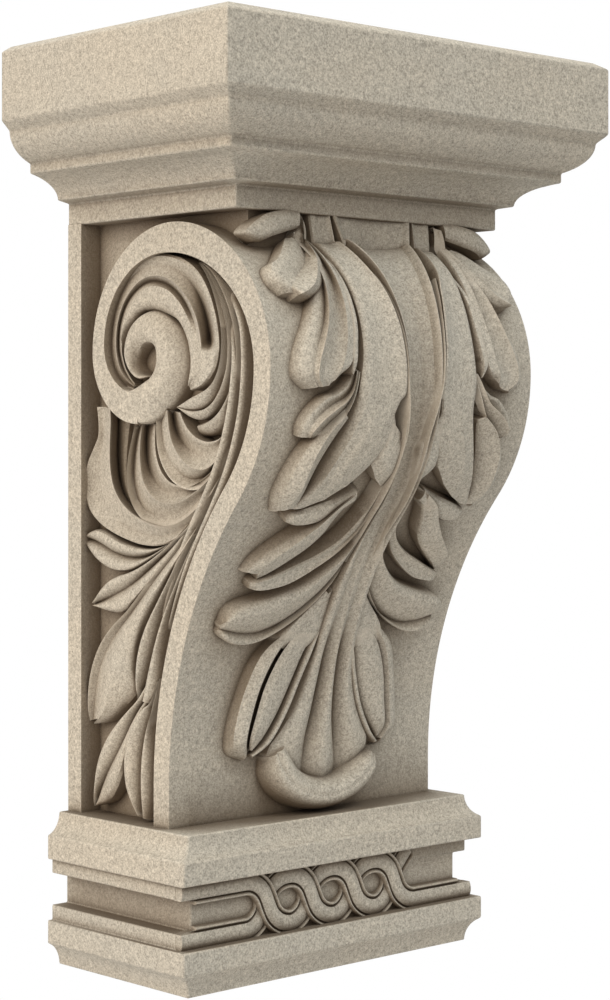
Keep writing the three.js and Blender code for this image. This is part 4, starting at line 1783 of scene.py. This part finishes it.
        swell=(2.2,),
        rounding=(0.9, 0.9),
        across=12,
    ),
)

LEAF_HALVES: tuple[Form, ...] = (
    # Shoulder lobe
    Form.of(
        """
        -43 325.7 5, -53.4 325 6.6, -64 322.3 7.4, -73.1 315.7 6.6, -71.8 313.1 4;
        -44 318.3 6, -54.7 315.5 8, -61 313.7 8.6, -65.3 311.7 7.4, -67.2 310.4 4
        """,
        swell=(0.8,),
        rounding=(0.8, 0.8),
        along=6,
        across=7,
    ),
    # First front lobe
    Form.of(
        """
        -41 324.6 6, -47.2 313.5 7.5, -52 310.5 8, -64.7 301.8 7.6, -71.2 298.7 7, -72.5 293.4 6.5,
        -68.3 288.1 5;
        -39.5 323.7 4.4, -38.9 311.5 4.6, -46.7 301.6 4.6, -53.4 296.8 4.8, -59.6 293 5.6, -64.1 289.5 6.4,
        -63.7 287.4 5.2;
        -41.7 322.4 7, -44.1 302.4 8.6, -48.6 295.2 9.2, -53.1 290.2 9.4, -58.2 287.1 9.4, -62.7 285.6 9,
        -62.9 285.9 6;
        -40.6 321.4 6, -40 302.4 7, -43.5 294.9 7, -47 290 6.8, -50.8 287.6 6.4, -55.5 285.9 6,
        -59.4 285.7 5
        """,
        swell=(0.2, 0.2, -0.2),
        rounding=(6, 1.6),
        along=7,
        across=6,
    ),
    # Second front lobe
    Form.of(
        """
        -45.9 315.7 6, -49 298 7.6, -54.2 286.9 8, -59.1 278.1 8, -64.1 270.6 7.6, -67.4 263.1 7,
        -67.6 255.7 6.6, -61.4 250.7 6;
        -43.5 316.4 4.4, -43.3 299.4 5.6, -47.3 287.4 6, -51.6 277.3 6.2, -56.4 269.1 6.6, -60.2 261.8 7.2,
        -61 256.3 7.4, -57.2 252 6.4;
        -45.1 316.6 7, -46 297.5 8.8, -48.9 285.8 9.4, -52.4 275.9 9.6, -56.3 268 9.6, -59.3 261.3 9.4,
        -59.5 256.1 9, -55.2 252.2 7;
        -41.9 316.9 5, -39.5 299.3 6, -41.3 286.9 6.2, -44.6 276 6.4, -48.1 267.4 6.6, -51.4 260.7 7,
        -53.2 256.3 7.6, -51.8 252.8 7;
        -42.5 316.1 7, -40.6 297.2 8.8, -40.6 285.3 9.2, -42.2 274.6 9.4, -44.2 266.8 9.6, -46.1 261.6 9.6,
        -47.9 258.5 9.4, -49.1 255 7.6;
        -40.8 315.4 6, -37.4 297.5 8, -36.2 285.7 8.4, -36.8 274.8 8.6, -38.3 267.1 8.8, -39.9 262.3 9,
        -41.8 259.9 8.6, -43.8 258.5 7.4
        """,
        swell=(-0.3, -0.6, -0.6, -0.6, -0.2),
        rounding=(7, 1),
        along=8,
        across=6,
    ),
    # Web by the long groove
    Form.of(
        """
        -34.8 302.5 5, -37.4 288.1 8.2, -38.3 276.5 8.8, -39.9 268.1 9, -40.9 262.2 9, -39.4 257.6 7;
        -33 302.5 5, -34.6 288.2 8, -34.8 276.6 8.4, -36.3 268.2 8.6, -37.5 261.8 8.8, -38.2 256.9 7
        """,
        swell=(0.2,),
        rounding=(0.8, 0.8),
        along=6,
        across=5,
    ),
    # Third front lobe
    Form.of(
        """
        -37 259.1 6.6, -40.9 253.9 8, -45.8 250.5 8.2, -51.5 248.8 8, -55.8 245.8 7.4, -59.9 241.5 7,
        -62.5 236.5 6.4, -61.8 232.4 5;
        -34.5 259.1 5, -37.4 252.2 5.6, -41.9 248.2 5.8, -47.4 245.8 5.8, -52.9 242.6 6, -57.3 239 6.4,
        -59.4 235.4 6.4, -58.3 232.7 5;
        -36.2 258.7 7.6, -39.6 251.3 9, -43.3 247.1 9.2, -48 244.5 9.4, -53 241.6 9.4, -56.8 238.2 9,
        -58.6 235.1 8, -56.9 232.6 5.4;
        -32.9 258.6 5, -35.4 250.3 5.6, -38.4 245.4 5.6, -42.1 242 5.6, -46.9 239 5.8, -51 236.3 6,
        -54.2 234.1 6.2, -54.7 232.3 5;
        -34.6 258.1 7.6, -37.7 250.2 9, -40.4 244.5 9.4, -43.4 240.5 9.4, -47 237.8 9.2, -50.1 235.6 8.6,
        -52.4 233.8 7.4, -52.9 232.1 5
        """,
        swell=(-0.4, -0.4, -0.4, -0.4),
        rounding=(3, 0.9),
        along=8,
        across=6,
    ),
    # Fourth front lobe
    Form.of(
        """
        -40.4 245.3 4, -46.7 240.5 1.6, -53.9 233.7 1, -59.9 225.7 1, -63.1 217 1, -63.2 208.7 1,
        -59.1 201.7 1;
        -41.1 243.3 6.4, -48.1 238.9 6.2, -54.5 233.1 6.2, -59.3 226.4 6.2, -61.4 218.9 6.2,
        -61.3 211.8 6.2, -57.9 204 4.4;
        -41.6 241.8 8.4, -48.2 237.4 9.4, -52.6 232.3 9.6, -55.3 226.2 9.6, -56.2 219.9 9.6,
        -56.3 213.7 9.4, -55 205.8 6.4;
        -38.7 240.5 6.6, -41.6 234.1 5, -44.5 228 4.4, -46.9 221.8 4.2, -48.4 216.2 4.4, -49.9 211.4 5.4,
        -51.1 205.7 6
        """,
        swell=(0.5, 0.4, 0),
        rounding=(0.5, 0.5),
        along=8,
        across=7,
    ),
    # Main blade
    Form.of(
        """
        -36.2 327.5 3, -34.4 300 7.2, -33 286.4 8, -32.8 273.2 8.2, -33.5 263.4 8.4, -34.7 254.5 8,
        -35.2 245.2 6.6, -37.8 236.5 5.4, -41.4 227.8 4.8, -45 219.1 4.6, -49.1 211.5 5.4, -53 205.5 6;
        -32.3 327.5 3, -31.2 299.3 8.2, -29.1 286 8.8, -28.2 273 8.8, -28.1 263.4 8.8, -29.5 254.5 9,
        -31.5 246.4 8.8, -34.4 238.6 8.4, -38 230.7 8, -41.9 222.9 7.8, -45.5 214.6 7.8, -47 206.2 6.4;
        -28.3 327.5 3, -26.2 300 8.4, -23.4 286.8 9, -22.2 273.8 9, -22 264.7 9, -22.6 256.8 9,
        -23.8 249.1 9.2, -26 241.9 9.4, -28.8 234.8 9.6, -32.8 227.6 9.6, -36.5 218.8 9, -38.3 209.5 7;
        -25.7 327.5 3.4, -23.4 300.1 9.4, -19.4 287.8 10.4, -17.2 276 10.4, -16.3 266.7 10.2, -16.2 259 10,
        -16.5 252.3 9.8, -17.3 246.5 9.6, -19.2 240.2 9.6, -22.8 232.9 9.4, -26.5 224.7 9, -29.2 214.7 7;
        -24.8 327.4 4, -22.1 299.6 10.8, -17.1 288.3 12, -13.9 277.2 12, -12.4 266.8 12, -11.3 257.6 11.8,
        -10.8 250.6 11, -12.4 247.5 9.6, -13.8 242.6 8.8, -11.7 237 8.2, -14.7 229.8 8, -19.8 223 7
        """,
        swell=(0.3, -0.2, -0.2, 0),
        rounding=(0.6, 0.6),
        along=9,
        across=6,
    ),
    # Stalk crest
    Form.of(
        """
        -18.2 293.9 10, -14.5 284.2 11, -12.6 273.3 11.2, -11.6 263.2 11.2, -10.9 254.5 11, -9.1 245.7 10.8,
        -7.4 236.8 10.4, -7.3 227.8 10.2, -7.7 217.1 10, -8.3 207.1 9.6, -7.9 195.2 8.8, -7.5 181.4 7;
        -18.3 293.3 11, -14.5 283.8 12, -12 273.1 12, -10.8 263.1 12, -10 254.6 12, -8.2 245.8 11.8,
        -6.7 237 11.4, -6.6 228.1 11, -7 217.5 10.8, -7.5 207.5 10.4, -7.2 195.7 9.6, -7.2 182.1 8
        """,
        swell=(0.3,),
        rounding=(0.9, 0.9),
        along=8,
        across=6,
    ),
    # Lobe by the stalk
    Form.of(
        """
        -16.2 240.8 8, -15.9 236.2 8, -16.6 231.6 8, -18.2 227.3 7.8, -19.8 223 7;
        -10.9 237.4 7.8, -11.5 233.1 8.6, -13.3 228.4 9.2, -15.1 223.5 9.2, -14.5 217.6 7;
        -7.2 233.9 8, -8.8 230.2 9.2, -10.1 225.8 9.6, -10.7 220.8 9.4, -9.1 214.3 7;
        -7.2 233.5 8, -5.3 229.1 8.6, -5.9 224.6 8.8, -6.4 220 8.6, -7.2 215 6.6
        """,
        swell=(0.4, 0.3, 0.3),
        rounding=(0.3, 0.8),
        along=8,
        across=6,
    ),
    # Tucked leaf
    Form.of(
        """
        -20.6 212.3 6, -29.3 209.6 6.6, -37.8 207.5 7, -45.7 205.4 7, -50.8 203.8 6.4, -52.9 201.5 5;
        -19.5 207.6 6, -27.4 203.8 7, -34.7 200.5 7.6, -41.5 199 7.6, -47.9 198.8 7, -51.7 199.3 5
        """,
        swell=(0.9,),
        rounding=(1.1, 1.1),
        along=8,
        across=8,
    ),
    # Sixth front lobe
    Form.of(
        """
        -18.2 212.1 4, -23.6 207.4 2, -30.6 201.9 1, -39.8 196.2 1, -49.5 189.6 1, -57.5 182.9 1,
        -60.8 176.4 1;
        -20.5 211.4 6, -27.1 207 6, -33.8 201.6 6, -41.4 195.4 6, -50 189.1 6, -56.9 183.3 5.6,
        -58.8 177.2 4.4;
        -22.5 210.8 7.6, -30 206.8 9.2, -35.1 201 9.6, -41.4 194.7 9.6, -48.5 188.3 9.2, -54 183 8.4,
        -54.3 176.9 5.4;
        -23.4 208.2 7, -28.9 203.5 8.6, -32 197.9 9, -37.5 191.7 9, -44.8 185.6 8.6, -50.8 180.4 7.6,
        -53.7 175.4 5.2;
        -23.5 205.7 6, -26.6 200.2 7, -28.7 194.7 7.4, -33.5 188.8 7.4, -40.8 183.2 7.2, -48.1 178.1 6.6,
        -53.1 174.2 5
        """,
        swell=(0.4, 0.3, 0.2, 0.1),
        rounding=(0.8, 0.8),
        along=8,
        across=6,
    ),
    # Band under the eye
    Form.of(
        """
        -7.2 219.3 7, -9 209.7 8, -11.7 200.7 8.4, -16.8 192.3 8.4, -25.6 186 8.4, -36.6 181.1 8.4,
        -47.5 176.6 8.2, -53.7 174.2 7.4, -55.7 173 5;
        -7.2 217.4 6, -7.2 207.8 7, -8.7 197.8 7.2, -14.9 189 7.4, -24.7 182.4 7.6, -35.8 177 7.6,
        -45.9 173.7 7.6, -52.8 172 7.2, -55.9 171.5 5;
        -7.2 216.5 7, -7.2 207.4 8.6, -9.5 196.4 9, -16.1 187 9.2, -25.6 179.7 9.2, -36.6 173.6 9.2,
        -46.3 171.2 9, -52.4 170.3 7.8, -55.3 170.1 5
        """,
        swell=(-0.3, -0.3),
        rounding=(1.1, 1.1),
        along=8,
        across=7,
    ),
    # Seventh front lobe
    Form.of(
        """
        -7.2 209.5 6, -7.2 199.5 7.4, -9.9 188.2 7.8, -18.2 178.9 8, -28.2 172 8, -38.6 168.3 8,
        -49 165.5 8, -57.6 163.4 7.6, -62.9 160.3 6.4, -64 155.2 3.4;
        -7.2 207.3 7, -7.2 196.2 8.8, -11.3 185.1 9.4, -19.5 175.7 9.6, -29 168.5 9.8, -39.3 163.8 9.8,
        -49.7 161.3 9.8, -58.5 159.7 9.2, -64.1 157.6 7.6, -64.8 154.3 4;
        -7.2 201.3 4, -7.2 189.1 4.4, -7.2 177.8 4.4, -12.2 167.9 4.4, -21.6 159.2 4.4, -32.1 153.2 4.4,
        -42.7 150.1 4.4, -52.9 150.4 4.6, -60.8 152 4.4, -63.6 152.3 3;
        -7.2 198.8 6.4, -7.2 188.3 8, -8.1 177.2 8.6, -15.1 166.6 8.8, -24 157.4 8.8, -34.4 150.6 8.6,
        -45.1 146.2 8.2, -55.3 145.7 7.6, -62.3 148.6 6, -64.2 151 3.2
        """,
        swell=(0.5, 0.9, 0.7),
        rounding=(1.2, 2.6),
        along=8,
        across=7,
    ),
    # Web over the fingers
    Form.of(
        """
        -11.9 168.4 6, -19.4 160.4 6.6, -25.8 154.3 7, -29.8 149.1 7, -31.3 143.7 6.4;
        -10 166.9 7, -15.4 158.8 7.6, -20.6 152.7 7.8, -24.4 147.3 7.6, -25.7 142.4 6.8;
        -7.2 168.6 6.4, -7.2 158.5 7, -7.2 151 7.4, -10.2 145.2 7.4, -14.5 141.1 6.6
        """,
        swell=(0.2, 0.2),
        rounding=(1, 1),
        along=6,
        across=7,
    ),
    # Long finger
    Form.of(
        """
        -27.7 148.7 4, -39.3 137.2 1, -44.9 121.1 1, -48.4 105.8 1, -47.6 96.1 1, -38.1 92.2 1;
        -27.2 150.5 6.4, -38.4 141.2 6.4, -44.3 126.8 6.4, -47.4 112.6 6.4, -47.9 100.5 6.2, -39.8 93.3 4;
        -24 151 7.4, -32.6 141.7 8.8, -38.3 128 9, -41.3 114.4 9, -42.9 103.4 8.8, -40.6 96 6.4;
        -21.9 150.1 6, -26 138.8 2.8, -31.3 125.3 2.4, -34.5 112.1 2.4, -36.5 101.6 2.4, -38.4 96.2 4.4;
        -21.1 149.9 6, -25.1 138.4 2.8, -30.3 125 2.4, -33.5 112 2.4, -35.7 101.9 2.4, -38 96.7 4.4;
        -21.6 150.2 7, -29.7 140.5 8.2, -35.5 127.2 8.6, -38.5 113.9 8.6, -40.4 104 8.2, -39 97.8 6;
        -16.6 149.3 7.4, -23.9 139.7 9.2, -30.1 126.4 9.8, -34.4 113.8 9.8, -38 104.1 9.2, -38.7 97.9 6.4;
        -9.2 150.5 5.6, -14.8 140.2 7, -19.6 127 7.6, -25.1 113.7 7.6, -31.8 103.1 7.2, -37 97 5.6
        """,
        swell=(0.4, 0.6, 0, 0, 0, 0.5, 0.6),
        rounding=(0.7, 0.7),
        along=9,
        across=5,
    ),
    # Ridge between the slits
    Form.of(
        """
        -8.1 151.8 6, -13.5 142.3 8, -18.1 129.1 8.6, -23.4 115.1 8.8, -30.8 102.2 8.4, -37.8 95.7 6;
        -7.2 152.8 6, -10.7 141.9 8, -15.3 128.7 8.6, -20.6 114.3 8.8, -28.6 100.7 8.4, -36.8 94 6
        """,
        swell=(0.7,),
        rounding=(0.8, 0.8),
        along=9,
        across=8,
    ),
)

LEAF_MIDDLE: tuple[Form, ...] = (
    # Stalk and centre finger
    Form.of(
        """
        -24 328.5 4, -18.4 308 9.8, -14.2 295 11.8, -11.5 280 12, -10.2 265 12, -9.2 250 11.8,
        -7.6 235 11.4, -6.4 220 11, -6 207 10.4, -6.2 195 9.8, -7 182 9.2, -7.6 168 8.8, -8.6 154 8.6,
        -9.4 140 8.2, -11.6 127 8, -16 114 8, -22.4 104.4 7.8, -27.4 98 7, -27.6 91 5;
        -20 328.5 3, -15.4 308 6.6, -12 295 7.4, -9.6 280 7.4, -8.6 265 7.4, -7.4 250 7.4, -5.8 235 7.2,
        -4.4 220 7.4, -3.8 207 7.8, -3.8 195 8.4, -4.4 182 9, -4.8 168 9.4, -5.6 154 9.6, -6.4 140 9.4,
        -8 126.4 9.4, -11 112.6 9.6, -15.4 101.4 9.6, -18.6 93 9, -18 86 7;
        -10 328.5 2.6, -8 308 4.6, -6 295 4.4, -4.6 280 4.2, -4 265 4.2, -3.2 250 4.2, -2.2 235 4.2,
        -1.2 220 4.6, -0.8 207 5.2, -0.8 195 6, -1 182 7, -1.2 168 7.8, -1.6 154 7.2, -1.8 139 5,
        -2 125.4 4.2, -3.2 111.4 4.2, -5.4 99.4 4.6, -7 89.6 5.2, -7.4 82 4.6;
        0 328.5 2.4, 0 308 3.8, 0 295 3.8, 0 280 3.6, 0 265 3.6, 0.6 250 3.6, 1.2 235 3.8, 1.8 220 4.4,
        2.2 207 5.2, 2.4 195 6.4, 2.4 182 7.8, 2.4 168 8.8, 2.4 154 9.4, 2.6 139 9.6, 2.8 125 10,
        2.6 110.4 10.2, 2.2 97.6 10.4, 2.2 88 10, 2.2 80 8;
        10 328.5 2.6, 8 308 4.6, 6 295 4.4, 4.6 280 4.2, 4 265 4.2, 4.2 250 4.2, 4.6 235 4.2, 4.8 220 4.6,
        5.2 207 5.2, 5.6 195 6, 5.8 182 7, 6 168 7.8, 6.4 154 7.2, 7 139 5, 7.6 125.4 4.2, 9.4 111.4 4.2,
        11.4 99.4 4.6, 12.4 89.6 5.2, 12.8 82 4.6;
        20 328.5 3, 15.4 308 6.6, 12 295 7.4, 9.6 280 7.4, 8.6 265 7.4, 8.2 250 7.4, 8 235 7.2, 8 220 7.4,
        8.2 207 7.8, 8.6 195 8.4, 9.2 182 9, 9.6 168 9.4, 10.4 154 9.6, 11.2 140 9.4, 12.8 126.4 9.4,
        16.6 112.6 9.6, 20.8 101.4 9.6, 23.6 93 9, 23.4 86 7;
        24 328.5 4, 18.4 308 9.8, 14.2 295 11.8, 11.5 280 12, 10.2 265 12, 10 250 11.8, 10 235 11.4,
        10 220 11, 10.4 207 10.4, 11 195 9.8, 11.8 182 9.2, 12.4 168 8.8, 13.4 154 8.6, 14.4 140 8.2,
        17 127 8, 21.6 114 8, 27 104.4 7.8, 31.4 98 7, 31.6 91 5
        """,
        swell=(0.2, *(FINGER_SWELL,) * 4, 0.2),
        rounding=(0.9, 0.9),
        along=8,
        across=6,
    ),
    # Rolled tip
    Form.of(
        """
        -19 99 6, -16 93 8, -12.5 88 8.6, -6 84 8.8, 2 82.4 8.8, 11 83.8 8.6, 19 87.4 8.4, 25 90.6 7.6,
        31 92 5;
        -25 96 9, -24 89 12, -20 82 13.4, -11 77 14.4, 1 75 14.8, 13 76.6 14.6, 22 80.6 14, 30 86 12.4,
        34.4 89.8 7;
        -28.6 93 5, -29 85.6 7, -24 77 8.4, -13.6 70.4 9.4, 0 67.8 9.8, 14 69.4 9.6, 25 73.6 9, 33.6 80 7.6,
        37 87 5
        """,
        swell=(2.2, 2),
        rounding=(2.4, 3),
        along=8,
        across=10,
    ),
)


@dataclass
class SideCarving:
    """The leafy panel on one side of the body: leaf lobes, stem, folded leaves and the scroll's eye."""

    forms: tuple[Form, ...] = SIDE_FORMS
    crease: float = 36.0

    def build(self, maker: PieceMaker) -> list[bpy.types.Object]:
        """Makes the panel's carving and its like on the other side.

        Args:
            maker: Places the pieces.

        Returns:
            The left and the right carving.
        """
        floor = STONE.panel_floor
        carver = Carver([(floor, 0.0), (floor, STONE.height)], maker.material)
        shell = Shell.joined([carver.carve(form) for form in self.forms])
        carver.close()
        left = shell.moved(np.array([[0.0, 1.0, 0.0], [-1.0, 0.0, 0.0], [0.0, 0.0, 1.0]]))
        turned = {Side.LEFT: left, Side.RIGHT: left.moved(MIRROR)}
        return [
            maker.place(f"side_carving_{side.name.lower()}", carving, self.crease)
            for side, carving in turned.items()
        ]


@dataclass
class FrontLeaf:
    """The acanthus leaf down the ogee front."""

    halves: tuple[Form, ...] = LEAF_HALVES
    middle: tuple[Form, ...] = LEAF_MIDDLE
    ground_overlap: float = 4.0
    ground_points: int = 260
    crease: float = 36.0

    def build(self, maker: PieceMaker) -> bpy.types.Object:
        """Makes the leaf.

        Args:
            maker: Places the piece.

        Returns:
            The leaf.
        """
        foot, top = STONE.plinth_top - self.ground_overlap, STONE.neck_foot + self.ground_overlap
        heights = np.linspace(foot, top, self.ground_points)
        carver = Carver([(STONE.front_depth(float(h)), float(h)) for h in heights], maker.material)
        halves = [carver.carve(form) for form in self.halves]
        middle = [carver.carve(form) for form in self.middle]
        carver.close()
        mirrored = [shell.moved(MIRROR) for shell in halves]
        return maker.place("front_leaf", Shell.joined(halves + mirrored + middle), self.crease)


@dataclass(frozen=True)
class Lamp:
    """A square soft light that aims at the stone's middle; lengths in metres, power in watts."""

    name: str
    place: Point
    power: float
    colour: Point
    size: float = 1.0


@dataclass(frozen=True)
class Studio:
    """Pale floor, soft light and the camera; lengths in metres, angles in degrees."""

    eye: Point = (-0.6995, -0.8214, 0.03055)
    heading: float = 42.93
    lens: float = 83.66
    sensor: float = 36.0
    lift: float = -0.0609
    overhead: float = 0.75
    underfoot: float = 0.1
    window: float = 1.2
    window_tint: Point = (1.0, 0.86, 0.76)
    floor_half: float = 1.5
    floor_height: float = -1.1
    floor_colour: tuple[float, float, float, float] = (0.86, 0.86, 0.86, 1.0)
    floor_roughness: float = 0.9
    lamps: tuple[Lamp, ...] = (
        Lamp("left_light", (-1.7, -0.35, 1.0), 10.0, (1.0, 0.92, 0.80)),
        Lamp("front_light", (0.1, -1.5, 2.0), 18.0, (0.92, 0.97, 1.0)),
    )

    def build(self) -> None:
        """Sets up the floor, the light and the camera."""
        self._floor()
        self._lights()
        self._camera()

    def _floor(self) -> None:
        """A plain pale floor, well below the hung stone."""
        mesh = bpy.data.meshes.new("floor")
        size, height = self.floor_half, self.floor_height
        corners = [(-size, -size, height), (size, -size, height), (size, size, height), (-size, size, height)]
        mesh.from_pydata(corners, [], [(0, 1, 2, 3)])
        plain = bpy.data.materials.new("pale_floor")
        plain.use_nodes = True
        shader = plain.node_tree.nodes["Principled BSDF"]
        shader.inputs["Base Color"].default_value = self.floor_colour
        shader.inputs["Roughness"].default_value = self.floor_roughness
        mesh.materials.append(plain)
        floor = bpy.data.objects.new("floor", mesh)
        bpy.context.collection.objects.link(floor)

    def _lights(self) -> None:
        """A warm soft light from the left, a cool one from the front and a pale sky."""
        for lamp in self.lamps:
            data = bpy.data.lights.new(lamp.name, "AREA")
            data.size = lamp.size
            data.energy = lamp.power
            data.color = lamp.colour
            made = bpy.data.objects.new(lamp.name, data)
            made.location = lamp.place
            made.rotation_euler = lamp_turn(-np.array(lamp.place) / np.linalg.norm(lamp.place))
            bpy.context.collection.objects.link(made)
        self._sky()
        bpy.context.scene.view_settings.view_transform = "Standard"

    def _sky(self) -> None:
        """A pale sky that lights more from above than from below, before a white backdrop."""
        world = bpy.data.worlds.new("studio")
        world.use_nodes = True
        tree = world.node_tree
        sky = tree.nodes["Background"]
        sky.inputs["Strength"].default_value = 1.0
        direction = node_field(tree, "ShaderNodeTexCoord", output="Generated")
        across, _, height = split_field(tree, direction)
        level = (self.overhead + self.underfoot) * 0.5
        glow = (height * (self.overhead - self.underfoot) + level).most(self.underfoot)
        left = (across * -1.0).most(0.0)
        seen = node_field(tree, "ShaderNodeLightPath", output="Is Camera Ray")
        glare = left * left
        parts = [(glow + glare * (self.window * tint)).toward(1.0, seen) for tint in self.window_tint]
        feed(tree, sky.inputs["Color"], join_fields(tree, *parts))
        bpy.context.scene.world = world

    def _camera(self) -> None:
        """The camera at the photograph's angle, level, with its picture shifted down a little."""
        data = bpy.data.cameras.new("camera")
        data.lens = self.lens
        data.sensor_width = self.sensor
        data.sensor_fit = "AUTO"
        data.shift_y = self.lift
        camera = bpy.data.objects.new("camera", data)
        camera.location = self.eye
        camera.rotation_euler = (math.radians(90), 0.0, -math.radians(self.heading))
        bpy.context.collection.objects.link(camera)
        bpy.context.scene.camera = camera


def lamp_turn(aim: np.ndarray) -> tuple[float, float, float]:
    """Rotation that turns a lamp's own -Z along a direction.

    Args:
        aim: The direction, of length 1.

    Returns:
        Euler angles.
    """
    tilt = math.acos(-aim[2])
    turn = math.atan2(aim[1], aim[0]) - math.pi / 2
    return tilt, 0.0, turn


def main() -> None:
    """Builds the stone and its studio, and reports each piece."""
    logging.basicConfig(level=logging.INFO, format="%(message)s")
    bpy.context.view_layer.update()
    groups = ShaderGroups()
    sandstone = SandstoneFinish().material("sandstone", groups)
    maker = PieceMaker(sandstone)
    Cap().build(maker)
    Plinth().build(maker)
    Straps().build(maker)
    Body().build(maker)
    SideCarving().build(maker)
    FrontLeaf().build(maker)
    Studio().build()


if __name__ == "__main__":
    main()
